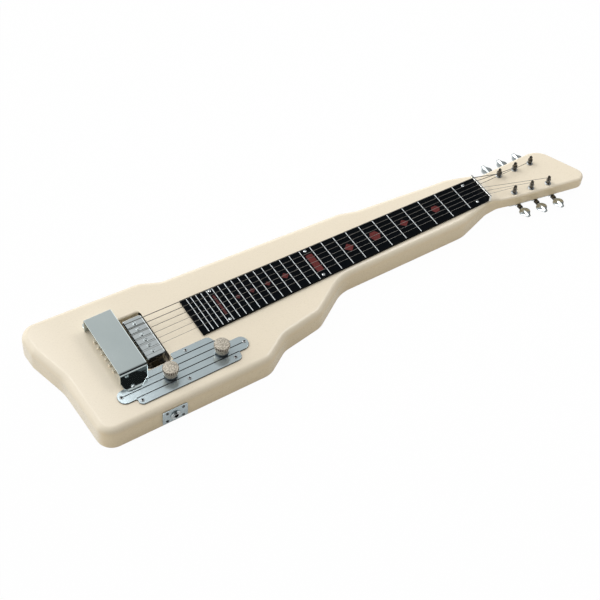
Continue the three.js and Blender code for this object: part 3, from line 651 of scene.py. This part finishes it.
bar = stack(box_outline(NUT_X, NUT_X + NUT_LONG, -NUT_HALF, NUT_HALF, 0.8, 4),
            rounded_levels(SEAT, NUT_TOP, 0.6, 4))
slots = []
for i, radius in enumerate(STRING_RADII):
    side, half = string_side(NUT_PITCH, i), radius + 0.3
    slot = box_outline(NUT_X - 2, NUT_X + 6, side - half, side + half)
    slots.append(stack(slot, [(0, STRING_AT_NUT - 0.1), (0, NUT_TOP + ABOVE)]))
nickel = Finish("bright_nickel", {"Metallic": 1.0})
rub = nickel.noise(500, 3, place=nickel.stretched(1, 0.1, 1))
nickel.fill(nickel.shader, {
    "Base Color": nickel.blend(rub, colour(238, 237, 232), colour(222, 221, 216)),
    "Roughness": 0.08 + rub * 0.08,
})
add_piece("nut_bar", carve(bar, slots), nickel, stands_for=["nut"])


# Bridge plate and saddle: a chromed steel plate screwed to the body, turned up at the back to hold
# the ball ends, and a plain steel bar that the strings break over. Both sit under the cover.
chrome = Finish("chrome_plate", {"Metallic": 1.0})
haze = chrome.noise(45, 4)
hair = chrome.noise(900, 2, place=chrome.stretched(0.08, 1, 1))
chrome.fill(chrome.shader, {
    "Base Color": chrome.blend(haze, colour(202, 208, 209), colour(214, 220, 221)),
    "Roughness": 0.07 + haze * 0.05 + hair.between(0.6, 0.8) * 0.08,
})
chrome.relief(chrome.noise(120, 2), 0.00002, 0.2)
steel = Finish("bright_steel", {"Metallic": 1.0})
grain = steel.noise(700, 3, place=steel.stretched(1, 0.05, 1))
steel.fill(steel.shader, {
    "Base Color": steel.blend(grain, colour(168, 170, 170), colour(196, 198, 198)),
    "Roughness": 0.22 + grain * 0.18,
})
steel.relief(grain, 0.00002, 0.4)


def dress(node, finish, width=0.0):
    """A CAD node that keeps its shape, with its finish and softened edges."""
    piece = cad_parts[node]
    piece.data.materials.clear()
    piece.data.materials.append(finish.material)
    if width:
        weld = piece.modifiers.new("weld", "WELD")
        weld.merge_threshold = 0.00001
        bevel = piece.modifiers.new("bevel", "BEVEL")
        bevel.width = width * MM
        bevel.segments = 2
        bevel.limit_method = "ANGLE"
        bevel.angle_limit = math.radians(40)


dress("bridge_plate", chrome, 0.25)
dress("saddle", steel, 0.25)


# Strings: steel wire, the three lowest wound, each held by a brass ball end behind the flange,
# bent over the saddle and the nut, and wrapped twice down its post.
STRING_AT_SADDLE = 51.2
SADDLE_PITCH = 10
ANCHOR = 40.6
ANCHOR_STATION = 590.0
ANCHOR_PITCH = 10.4
POST_RADIUS = 2.5
TUNER_PITCH = 27.6
ROWS = {
    "far": {"station": -48.6, "side": 15.2, "turn": 1.9, "reach": 33, "out": 1},
    "near": {"station": -48, "side": -22.2, "turn": 9.3, "reach": 24, "out": -1},
}
WRAP_TOP = 38.8
WRAP_TURNS = 2.25


def row_of(i):
    """The row of tuning machines that a string goes to."""
    return ROWS["far" if i < 3 else "near"]


def post_spot(i):
    """Centre of a string's post in millimetres. The outer strings go to the nearest posts."""
    row = row_of(i)
    steps = i if i < 3 else 5 - i
    turn = math.radians(-row["turn"])
    along = Vector((math.cos(turn), math.sin(turn))) * TUNER_PITCH * steps
    return Vector((NUT_X - row["station"], row["side"])) + along


def wire_route(i):
    """From the ball end over the saddle and the nut to the turns round the post."""
    radius = STRING_RADII[i]
    row, centre = row_of(i), post_spot(i)
    at_anchor = string_side(ANCHOR_PITCH, i)
    at_nut = string_side(NUT_PITCH, i)
    start = Vector((NUT_X + NUT_LONG / 2, at_nut))
    towards = start - centre
    coil = POST_RADIUS + 0.3 + radius
    angle = math.atan2(towards.y, towards.x) + row["out"] * math.acos(coil / towards.length)
    route = [(NUT_X - ANCHOR_STATION + x, at_anchor, ANCHOR) for x in (-1.5, 2.6)]
    for past in (-3, 0, 3):
        height = STRING_AT_SADDLE + radius - abs(past) * 0.2
        route.append((NUT_X - SADDLE - 1 + past, string_side(SADDLE_PITCH, i), height))
    route.append((NUT_X - 0.2, at_nut, STRING_AT_NUT + radius))
    route.append((NUT_X + 3.0, at_nut, STRING_AT_NUT + radius - 0.15))
    pitch = 2 * radius + 0.35
    for k in range(int(WRAP_TURNS * 20) + 1):
        turn = k / 20
        a = angle + row["out"] * turn * 2 * math.pi
        height = WRAP_TOP - turn * pitch
        route.append((centre.x + coil * math.cos(a), centre.y + coil * math.sin(a), height))
    return [Vector(p) * MM for p in route]


def wire(points, radius, sides=12):
    """Round wire along a route, its section carried along without twist."""
    rings = []
    across = None
    for i, here in enumerate(points):
        back = here - points[max(i - 1, 0)]
        ahead = points[min(i + 1, len(points) - 1)] - here
        along = (back.normalized() + ahead.normalized()).normalized()
        if across is None:
            across = along.orthogonal().normalized()
        across = (across - along * across.dot(along)).normalized()
        other = along.cross(across)
        ring = []
        for k in range(sides):
            angle = 2 * math.pi * k / sides
            offset = across * math.cos(angle) + other * math.sin(angle)
            ring.append(here + offset * radius * MM)
        rings.append(ring)
    return skin(rings)


plain_wire = Finish("plain_wire", {"Metallic": 1.0})
tarnish = plain_wire.noise(120, 3)
plain_wire.fill(plain_wire.shader, {
    "Base Color": plain_wire.blend(tarnish, colour(150, 148, 143), colour(124, 121, 115)),
    "Roughness": 0.42 + tarnish * 0.1,
})
wound_wire = Finish("wound_wire", {"Metallic": 1.0})
tarnish = wound_wire.noise(120, 3)
# Painted shade: the winding shows as light and dark bands across the wire, dark in the grooves
# between turns.
wrap = wound_wire.node("TexWave", {"bands_direction": "X", "wave_profile": "SIN"},
                       {"Vector": wound_wire.place(), "Scale": 900.0, "Distortion": 0.0})
wound_wire.fill(wound_wire.shader, {
    "Base Color": wound_wire.blend(wrap, colour(92, 90, 86), colour(122, 119, 113)),
    "Roughness": 0.45 + tarnish * 0.1,
})
brass = Finish("brass", {"Metallic": 1.0})
tarnish = brass.noise(300, 3)
brass.fill(brass.shader, {
    "Base Color": brass.blend(tarnish, colour(214, 182, 116), colour(178, 142, 82)),
    "Roughness": 0.26 + tarnish * 0.2,
})
# Painted highlight: the ball ends' brass is painted nearly white so that they show as bright
# beads.
brass_painted_bright = Finish("brass_painted_bright", {"Metallic": 0.6})
tarnish = brass_painted_bright.noise(600, 3)
brass_painted_bright.fill(brass_painted_bright.shader, {
    "Base Color": brass_painted_bright.blend(tarnish, colour(255, 250, 236), colour(246, 230, 200)),
    "Roughness": 0.4 + tarnish * 0.15,
})

BALL = [(0, -1.6), (1.2, -1.6), (1.6, -1.2), (1.2, -0.7),
        (1.2, 0.7), (1.6, 1.2), (1.2, 1.6), (0, 1.6)]
for i, radius in enumerate(STRING_RADII):
    finish = wound_wire if i < 3 else plain_wire
    add_piece(f"wire_{6 - i}", wire(wire_route(i), radius), finish,
              stands_for=[f"string_{6 - i}"])
    ball = moved(turned(BALL), NUT_X - ANCHOR_STATION - 2.4, string_side(ANCHOR_PITCH, i), ANCHOR)
    add_piece(f"ball_end_{6 - i}", ball, brass_painted_bright)


# Pickup: a chromed cover over a taped coil on a brass base, sunk in the rout, with six slotted
# pole screws standing just proud of the cover.
PICKUP = {"x": NUT_X - 536.3, "half_x": 13.2, "half_y": 35, "low": 26.1, "top": 45}
PICKUP_BEVEL = {"across": 1.4, "down": 0.95}
POLE_PITCH = 9.84
POLE = [(0, 30), (1.5, 30), (1.5, 45.0), (2.5, 45.0), (2.5, 45.7), (2.0, 46.3), (0, 46.4)]
POLE_SLOT = {"half": 0.4, "floor": 45.5}

shell = stack(box_outline(PICKUP["x"] - PICKUP["half_x"], PICKUP["x"] + PICKUP["half_x"],
                          -PICKUP["half_y"], PICKUP["half_y"], 3.5, 8),
              [(0, PICKUP["low"]), (0, PICKUP["top"] - PICKUP_BEVEL["down"]),
               (PICKUP_BEVEL["across"], PICKUP["top"])])
add_piece("pickup_shell", shell, chrome, stands_for=["pickup_cover"])

tape = Finish("black_tape", {"Metallic": 0.0})
turns = tape.noise(400, 2, place=tape.stretched(0.1, 0.1, 1))
tape.fill(tape.shader, {
    "Base Color": tape.blend(turns, colour(18, 18, 19), colour(36, 36, 38)),
    "Roughness": 0.45 + turns * 0.2,
})
tape.relief(turns, 0.00008, 0.5)
dark_brass = Finish("dark_brass", {"Metallic": 1.0})
tarnish = dark_brass.noise(300, 3)
dark_brass.fill(dark_brass.shader, {
    "Base Color": dark_brass.blend(tarnish, colour(92, 78, 54), colour(58, 50, 38)),
    "Roughness": 0.4 + tarnish * 0.2,
})
dress("pickup_coil", tape)
dress("pickup_base", dark_brass, 0.2)

for i in range(6):
    slot = stack(box_outline(-3, 3, -POLE_SLOT["half"], POLE_SLOT["half"]),
                 [(0, POLE_SLOT["floor"]), (0, POLE_SLOT["floor"] + 2.5)])
    pole = carve(turned(POLE), [slot])
    pole = moved(pole, PICKUP["x"], string_side(POLE_PITCH, i), 0, 0.5 + 0.7 * i)
    add_piece(f"pole_{6 - i}", pole, chrome, stands_for=[f"pole_screw_{6 - i}"])


# Bridge cover: sheet steel bent into a low arch over the bridge, chromed, with a foot at each end
# that is screwed down. The near foot lies on the control plate.
PLATE = {"low": SEAT, "top": 39.8, "groove": 1.45, "depth": 0.5}
COVER = {"front": 557, "back": 595.5, "half": 50, "top": 61, "sheet": 1.3}
COVER_LOW = {"near": PLATE["top"] + 0.3, "far": SEAT}
COVER_BEND = {"near": 4.6, "far": 2}
FOOT = {"front": 559, "shoulder": 572.5, "back": 594.5, "tip": 63, "front_tip": 53.6,
        "screw": 582.5, "screw_side": 58.6}


def arch(inward):
    """Section of the bent sheet, up the far side and down the near one."""
    half, top = COVER["half"] - inward, COVER["top"] - inward
    points = rounded([
        (-half, COVER_LOW["near"], 0),
        (half, COVER_LOW["far"], 0),
        (half, top, COVER_BEND["far"] - inward),
        (-half, top, COVER_BEND["near"] - inward),
    ], 8)
    return points[1:] + points[:1]


def cover_sheet():
    """The bent sheet with its edges broken, less at the back."""
    outer, inner = arch(0), arch(COVER["sheet"])
    bm = bmesh.new()
    front, back = NUT_X - COVER["front"], NUT_X - COVER["back"]
    stations = [(front, 0.6), (front - 0.9, 0), (back + 0.15, 0), (back, 0.15)]
    loops = []
    for x, drawn in stations:
        share = drawn / COVER["sheet"]
        outer_ring = [bm.verts.new((x * MM, *(o.lerp(n, share)))) for o, n in zip(outer, inner)]
        inner_ring = [bm.verts.new((x * MM, *(n.lerp(o, share)))) for o, n in zip(outer, inner)]
        loops.append((outer_ring, inner_ring))
    count = len(outer)
    for (o0, i0), (o1, i1) in zip(loops, loops[1:]):
        for k in range(count - 1):
            bm.faces.new((o0[k], o0[k + 1], o1[k + 1], o1[k]))
            bm.faces.new((i0[k], i1[k], i1[k + 1], i0[k + 1]))
        for k in (0, count - 1):
            bm.faces.new((o0[k], o1[k], i1[k], i0[k]))
    for o, n in (loops[0], loops[-1]):
        for k in range(count - 1):
            bm.faces.new((o[k], n[k], n[k + 1], o[k + 1]))
    bmesh.ops.recalc_face_normals(bm, faces=bm.faces)
    return bm


def cover_foot(out, low):
    """Flat foot, narrower in front, on one side of the cover."""
    wall = COVER["half"] - 0.4
    corners = [
        (NUT_X - FOOT["back"], out * wall, 0),
        (NUT_X - FOOT["back"], out * FOOT["tip"], 8),
        (NUT_X - FOOT["shoulder"], out * FOOT["tip"], 8),
        (NUT_X - FOOT["front"], out * FOOT["front_tip"], 1.8),
        (NUT_X - FOOT["front"], out * wall, 0),
    ]
    return stack(rounded(corners, 8), rounded_levels(low, low + COVER["sheet"], 0.3, 2))


chrome_cover = Finish("chrome_cover", {"Metallic": 1.0})
haze = chrome_cover.noise(30, 3)
hair = chrome_cover.noise(800, 2, place=chrome_cover.stretched(1, 0.08, 1))
chrome_cover.fill(chrome_cover.shader, {
    "Base Color": chrome_cover.blend(haze, colour(200, 210, 210), colour(211, 220, 219)),
    "Roughness": 0.03 + haze * 0.03 + hair.between(0.6, 0.8) * 0.06,
})
chrome_cover.relief(chrome_cover.noise(60, 2), 0.00003, 0.2)
add_piece("cover_sheet", cover_sheet(), chrome_cover, stands_for=["bridge_cover"])
for name, out in (("near", -1), ("far", 1)):
    low = COVER_LOW[name]
    add_piece(f"cover_foot_{name}", cover_foot(out, low), chrome_cover)
    head = moved(screw_head(2.8, 1.6, 0.6), NUT_X - FOOT["screw"], out * FOOT["screw_side"],
                 low + COVER["sheet"], 0.7)
    add_piece(f"cover_screw_{name}", head, chrome)


# Control plate: a stepped chromed plate over the well, held by six dull screws, with four lines
# cut along it and dark inside, and its edge all round painted dark as shade against the lacquer.
PLATE_CORNERS = [
    (518.5, -36.5, 2),
    (518.5, -46.6, 0),
    (581, -46.6, 6),
    (589, -56.5, 3),
    (608, -56.5, 10),
    (608, -77.7, 10),
    (587, -77.7, 1.5),
    (587, -88.2, 6),
    (440, -88.2, 8),
    (440, -76.6, 1.5),
    (422, -76.6, 9.5),
    (422, -56, 9.5),
    (443, -56, 3),
    (447, -46.3, 5),
    (459.5, -46.3, 3),
    (463, -36.5, 7),
]
# side, front station, back station
GROOVES = [(-46.4, 459, 519), (-56.4, 443, 589), (-66.4, 429, 601), (-76.4, 440, 587)]
GROOVE_LEVELS = [(0.25, PLATE["top"] - PLATE["depth"]), (0, PLATE["top"] + 0.05),
                 (0, PLATE["top"] + 1)]
PLATE_SCREWS = [(498.9, -41.6), (426.9, -66.2), (448.8, -82.3),
                (515.4, -82.3), (582, -82.3), (603.2, -66.2)]

lines = []
for side, front, back in GROOVES:
    half = PLATE["groove"] / 2
    line = box_outline(NUT_X - back, NUT_X - front, side - half, side + half)
    lines.append(stack(line, GROOVE_LEVELS))
sheet = carve(flat_piece(PLATE_CORNERS, PLATE["low"], PLATE["top"], 0.3, 8, 3), lines)

plate_chrome = Finish("plate_chrome", {"Metallic": 1.0})
haze = plate_chrome.noise(35, 4)
hair = plate_chrome.noise(900, 2, place=plate_chrome.stretched(0.08, 1, 1))
height = plate_chrome.axes(plate_chrome.place())[2]
# Near black below the top face: inside the cut lines, and the plate's edge all round as painted
# shade where it meets the lacquer.
lines_and_edge_shade = (height < (PLATE["top"] - 0.08) * MM) * (height > (PLATE["low"] - 1) * MM)
shine = plate_chrome.blend(haze, colour(184, 197, 201), colour(195, 207, 211))
plate_chrome.fill(plate_chrome.shader, {
    "Base Color": plate_chrome.blend(lines_and_edge_shade, shine, colour(12, 13, 16)),
    "Metallic": (1 - lines_and_edge_shade) * 0.7,
    "Roughness": 0.13 + haze * 0.07 + hair.between(0.6, 0.8) * 0.08 + lines_and_edge_shade * 0.4,
})
plate_chrome.relief(plate_chrome.noise(80, 2), 0.00003, 0.25)
add_piece("plate_sheet", sheet, plate_chrome, stands_for=["control_plate"])

dull = Finish("dull_screw", {"Metallic": 1.0})
scuff = dull.noise(800, 3)
rust = dull.blend(scuff.between(0.35, 0.7), colour(58, 57, 56), colour(126, 127, 127))
# Painted shade: the middle of each head is near black where the cross is sunk.
dull.fill(dull.shader, {
    "Base Color": dull.blend(dull.from_middle().between(0.22, 0.3), colour(30, 31, 34),
                             dull.blend(0.6, rust, colour(236, 238, 238))),
    "Roughness": 0.16 + scuff * 0.2,
})
for i, (station, side) in enumerate(PLATE_SCREWS):
    head = moved(screw_head(2.5, 1.2, 0.9), NUT_X - station, side, PLATE["top"], 0.3 + 0.8 * i)
    add_piece(f"plate_head_{i + 1}", head, dull, stands_for=[f"plate_screw_{i + 1}"])


# Knobs: chromed brass, nearly straight cans with a worn and stippled crown, a ribbed rim with a
# dark ring inside it, painted shade that shows between its ribs, and a smooth skirt whose chrome
# is painted dark, a painted reflection.
KNOBS = {"volume": 460.1, "tone": 533.9}
KNOB_SIDE = -66.7
KNOB_LOW = 40.4
KNOB_RIBS = 22
KNOB_NOTCH = 0.9
KNOB_SKIRT = [(0, 0.5), (8.8, 0.5), (9.0, 0), (9.3, 0.2), (9.4, 0.7), (9.1, 1.8), (8.8, 3.2),
              (8.6, 3.5), (8.6, 3.8), (9.0, 4.2), (9.5, 8.0), (9.8, 11.0)]
KNOB_RIM = [(10.3, 12.6), (10.6, 13.4), (10.6, 15.6), (10.3, 16.4)]
KNOB_CROWN = [(9.8, 16.8), (9.0, 17.1), (7.0, 17.35), (4.0, 17.5), (1.5, 17.6), (0, 17.6)]
KNOB_BAND = [(0, 12.4), (10.05, 12.8), (10.15, 13.2), (10.15, 15.8), (9.9, 16.4), (0, 16.6)]

knob_chrome = Finish("knob_chrome", {"Metallic": 1.0})
stipple = knob_chrome.node("TexVoronoi", None, {"Vector": knob_chrome.place(), "Scale": 900.0})
bloom = knob_chrome.noise(520, 3)
height = knob_chrome.axes(knob_chrome.place())[2]
# Painted reflection: below the barrel the skirt's chrome is painted dark, as the dark it reflects.
barrel = height.between(44.0 * MM, 45.5 * MM)
worn = knob_chrome.blend(bloom.between(0.38, 0.6), colour(204, 195, 180), colour(150, 142, 129))
knob_chrome.fill(knob_chrome.shader, {
    "Base Color": knob_chrome.blend(barrel, colour(104, 108, 112), worn),
    "Metallic": 1 - barrel * 0.6,
    "Roughness": 0.06 + barrel * 0.36 + bloom * 0.1,
})
knob_chrome.relief(stipple * barrel, 0.0002, 0.7)
# Painted shade: a dark ring inside the rim, seen between the ribs.
painted_rib_shade = Finish("painted_rib_shade", {"Metallic": 0.3})
rib_shade_mottle = painted_rib_shade.noise(700, 3)
painted_rib_shade.fill(painted_rib_shade.shader, {
    "Base Color": painted_rib_shade.blend(rib_shade_mottle, colour(88, 58, 50), colour(46, 34, 32)),
    "Roughness": 0.5 + rib_shade_mottle * 0.2,
})
rim = [(radius, height, KNOB_NOTCH) for radius, height in KNOB_RIM]
for name, station in KNOBS.items():
    cap = turned(KNOB_SKIRT + rim + KNOB_CROWN, KNOB_RIBS * 6)
    cap = moved(cap, NUT_X - station, KNOB_SIDE, KNOB_LOW)
    add_piece(f"{name}_cap", cap, knob_chrome, f"{name}_control", [f"{name}_knob"])
    band = moved(turned(KNOB_BAND, 48), NUT_X - station, KNOB_SIDE, KNOB_LOW)
    add_piece(f"{name}_rim_shade", band, painted_rib_shade, f"{name}_control")
    dress(f"{name}_pot", steel, 0.2)
    dress(f"{name}_pot_shaft", brass)


# Jack: a small chromed plate screwed to the control side at its corners, with the socket's bush
# through it and a round nut outside.
JACK_PLATE = {"half_x": 17.8, "half_z": 12, "thickness": 1.5, "hole": 4.9}
JACK_SCREWS = [(-11.2, 8.6), (11.5, 8.8), (-11.4, -7.4), (11.5, -8.4)]
JACK_RING = [(4.7, 1.6), (6.6, 1.6), (6.9, 1.9), (6.9, 2.8), (6.0, 3.6), (5.0, 3.6), (4.7, 3.3)]
JACK_BUSH = [(0, -24.5), (7, -24.5), (7, -0.3), (4.6, -0.3), (4.6, 4.3), (4.3, 4.6), (3.5, 4.6),
             (3.25, 4.3), (3.25, -22.5), (0, -22.5)]


def on_side(bm, x=0.0, z=0.0, out=0.0):
    """Lays a solid drawn flat against the control side, its top facing out."""
    return laid(bm, JACK_BORE["x"] + x, CONTROL_SIDE - 0.3 - out, JACK_BORE["z"] + z)


def ring_of(profile, sides=40):
    """Ring about Z from a closed profile of (radius, height) points."""
    return skin([circle(sides, *point) for point in profile], looped=True)


half_x, half_z = JACK_PLATE["half_x"], JACK_PLATE["half_z"]
side_plate = stack(box_outline(-half_x, half_x, -half_z, half_z, 1.5),
                   rounded_levels(0, JACK_PLATE["thickness"], 0.3, 2))
side_plate = carve(side_plate, [drill(JACK_PLATE["hole"], 10)])
add_piece("side_plate", on_side(side_plate), plate_chrome, stands_for=["jack_plate"])
add_piece("jack_ring", on_side(ring_of(JACK_RING)), chrome, stands_for=["jack_nut"])
add_piece("jack_bush", on_side(turned(JACK_BUSH)), chrome, stands_for=["jack_socket"])
dull_side = Finish("dull_side_screw", {"Metallic": 1.0})
scuff = dull_side.noise(800, 3)
dull_side.fill(dull_side.shader, {
    "Base Color": dull_side.blend(scuff.between(0.35, 0.7), colour(64, 64, 63),
                                  colour(140, 142, 142)),
    "Roughness": 0.16 + scuff * 0.2,
})
for i, (x, z) in enumerate(JACK_SCREWS):
    head = on_side(screw_head(2.2, 1.0, 0.8), x, z, JACK_PLATE["thickness"])
    add_piece(f"side_screw_{i + 1}", head, dull_side)


# Tuning machines: three on a chromed plate under each edge of the headstock. A bushing lines each
# hole, the split post rises through it, and its gear below meets the worm on the button's shaft.
WORM_OFFSET = 6.6
WORM_Z = 8.8
POST_TOP = HEAD_TOP + 13.5
POST = [(0, 7.1), (2.5, 7.1), (2.5, 34), (2.25, 35.5), (2.25, 38), (2.4, 39.6),
        (2.3, POST_TOP - 0.6), (1.9, POST_TOP), (0, POST_TOP)]
SLEEVE = [(0, 8.4), (3.0, 8.4), (3.4, 8.8), (3.4, 10.6), (2.9, 11.0), (2.9, 11.6), (3.3, 12.0),
          (3.3, 14.2), (2.4, 15.4), (0, 15.4)]
COLLAR = [(2.8, HEAD_TOP), (4.8, HEAD_TOP), (4.8, HEAD_TOP + 0.4), (3.5, HEAD_TOP + 1.7),
          (2.8, HEAD_TOP + 1.7)]
PADDLE_HALF = [(1.8, -9.3), (2.6, -8.2), (4.6, -7.2), (6.9, -5.4), (8.2, -3.2), (8.5, -1.2),
               (8.2, 0.8), (7.2, 2.5), (5.6, 4.1), (4.3, 5.7), (3.4, 7.6), (2.8, 9.3)]
PADDLE_LENS = [(1.0, 0.4), (0.88, 0.75), (0.6, 0.9), (0.2, 0.98)]
RIDGE = [(-9.3, 1.7, 1.7), (-7.0, 2.0, 2.1), (0, 2.9, 2.3), (6.5, 3.6, 2.3), (9.3, 2.6, 1.0)]


def at_post(bm, i):
    """From a machine drawn on the origin with its button towards +Y to its place."""
    row, spot = row_of(i), post_spot(i)
    if row["out"] < 0:
        bmesh.ops.scale(bm, verts=bm.verts, vec=(1, -1, 1))
        bmesh.ops.reverse_faces(bm, faces=bm.faces)
    return moved(bm, spot.x, spot.y, 0)


def post_solid():
    """Post with its top slit for the string's end."""
    slit = stack(box_outline(-4, 4, -0.6, 0.6), [(0, POST_TOP - 3.4), (0, POST_TOP + 1)])
    return carve(turned(POST), [slit])


def gear_solid():
    """Gear that the worm turns, one tooth for each turn of the button."""
    teeth, radius, tooth = 12, 4.0, 0.9
    points = []
    for k in range(teeth * 4):
        r = radius if k % 4 < 2 else radius - tooth
        angle = 2 * math.pi * k / (teeth * 4)
        points.append(Vector((r * math.cos(angle), r * math.sin(angle))) * MM)
    return stack(points, [(0.2, 7.1), (0, 7.3), (0, 10.3), (0.2, 10.5)])


def button_solid(reach):
    """Two-lobed paddle, thinning to its edge and drawn in to a flat tip, with a ridge along it."""
    points = PADDLE_HALF + [(-x, y) for x, y in reversed(PADDLE_HALF)]
    levels = [(share, -z) for share, z in reversed(PADDLE_LENS)] + PADDLE_LENS
    paddle = [[(x * share, y, z) for x, y in points] for share, z in levels]
    ridge = [[(w, y, 0), (0, y, h), (-w, y, 0), (0, y, -h)] for y, w, h in RIDGE]
    button = joined(*(skin([[Vector(p) * MM for p in ring] for ring in rings])
                      for rings in (paddle, ridge)))
    spot = Vector((WORM_OFFSET, reach, WORM_Z)) * MM
    bmesh.ops.translate(button, verts=button.verts, vec=spot)
    return button


def shaft_solid(reach):
    """Worm and bare shaft up to the paddle."""
    worm = []
    for k in range(6):
        start = -4 + 8 * k / 6
        worm += [(1.7, start), (2.3, start + 0.5), (2.3, start + 0.8), (1.7, start + 1.3)]
    end = [(1.7, reach - 9.3), (1.6, reach - 8), (0, reach - 8)]
    return turned([(0, -8.2), (1.7, -8.2)] + worm + end, 24)


def joined(*solids):
    """Several solids in one mesh."""
    whole = bmesh.new()
    for solid in solids:
        mesh = bpy.data.meshes.new("part")
        solid.to_mesh(mesh)
        solid.free()
        whole.from_mesh(mesh)
        bpy.data.meshes.remove(mesh)
    return whole


def shaft_line(bm):
    """Turned from Z to lie along the worm's shaft."""
    bmesh.ops.rotate(bm, verts=bm.verts, matrix=Matrix.Rotation(-math.pi / 2, 3, "X"))
    bmesh.ops.translate(bm, verts=bm.verts, vec=Vector((WORM_OFFSET, 0, WORM_Z)) * MM)
    return bm


aged = Finish("aged_steel", {"Metallic": 1.0})
patina = aged.noise(600, 3)
aged.fill(aged.shader, {
    "Base Color": aged.blend(patina.between(0.35, 0.7), colour(66, 60, 52), colour(132, 128, 120)),
    "Roughness": 0.14 + patina * 0.16,
})

for i in range(6):
    number = 6 - i
    reach = row_of(i)["reach"]
    handle = joined(shaft_line(shaft_solid(reach)), button_solid(reach))
    add_piece(f"handle_{number}", at_post(handle, i), chrome, f"tuner_shaft_{number}",
              [f"tuner_button_{number}"])
    sleeve = at_post(shaft_line(turned(SLEEVE, 28)), i)
    add_piece(f"sleeve_{number}", sleeve, aged, f"tuner_shaft_{number}")
    spindle = joined(post_solid(), gear_solid())
    add_piece(f"spindle_{number}", at_post(spindle, i), aged, f"tuner_spindle_{number}",
              [f"tuner_post_{number}"])
    add_piece(f"collar_{number}", at_post(ring_of(COLLAR), i), steel,
              stands_for=[f"tuner_bushing_{number}"])
for name in ROWS:
    dress(f"tuner_plate_{name}", chrome, 0.25)


# Table: matt white paper, seen by the camera and in the chrome as nearly white, with the
# instrument's soft shadow kept.
table = bpy.data.objects.new("table", bpy.data.meshes.new("table"))
bm = bmesh.new()
bmesh.ops.create_grid(bm, x_segments=1, y_segments=1, size=12)
bm.to_mesh(table.data)
bm.free()
bpy.context.scene.collection.objects.link(table)

paper = Finish("paper", {"Base Color": colour(238, 238, 238), "Roughness": 0.9})
seen, mirrored, through = (paper.node("LightPath", output=f"Is {ray} Ray")
                           for ray in ("Camera", "Glossy", "Transmission"))
mixed = paper.node("MixShader", None, {
    0: seen * 0.98 + (mirrored + through) * 0.3,
    1: Wire(paper, paper.shader.outputs[0]),
    2: paper.node("Emission"),
})
paper.fill(paper.tree.nodes["Material Output"], {0: mixed})
table.data.materials.append(paper.material)


# Room light: bright over the player and the tail end and dark high up on the control side, with a
# pale wall low down all round. One soft lamp hangs beyond the headstock and another one stands
# for a window on the player's side.
ROOM_BRIGHT_WAY = Vector((-0.5, 0.6, 0.6)).normalized()
LAMP_SIZE = 0.5
# name, place in metres, watts
LAMPS = [("overhead", (0.55, 0.05, 1.1), 3.5), ("window", (-0.3, 0.75, 1.25), 3.9)]

world = bpy.data.worlds.new("room")
bpy.context.scene.world = world
world.use_nodes = True
room = Nodes(world.node_tree)
way = room.node("TexCoord", output="Generated")
lean = room.node("VectorMath", {"operation": "DOT_PRODUCT"}, (way, ROOM_BRIGHT_WAY), "Value")
level = room.node("MapRange", None, {0: lean, 1: 0.1, 2: 1.0, 3: 0.02, 4: 1.0})
along, side, height = room.axes(way)
wall = (1 - height.between(0.2, 0.55)) * side.between(0.05, 0.5)
wall = wall * (0.5 + along.between(0.3, 0.8) * 0.8)
front = (1 - height.between(0.15, 0.4)) * (side * -1).between(0.1, 0.6)
glow = along.between(0.45, 0.65) * (1 - height.between(0.5, 0.8)) * (side * -1).between(0.1, 0.5)
room.fill(room.tree.nodes["Background"], {
    "Color": (0.98, 1.0, 1.0, 1),
    "Strength": level + wall + front * 0.65 + glow * 0.35 + lean.between(0.78, 1.0),
})

for name, spot, power in LAMPS:
    lamp = bpy.data.objects.new(name, bpy.data.lights.new(name, "AREA"))
    lamp.data.size = LAMP_SIZE
    lamp.data.energy = power
    lamp.location = spot
    lamp.rotation_euler = Vector(spot).to_track_quat("Z", "Y").to_euler()
    bpy.context.scene.collection.objects.link(lamp)
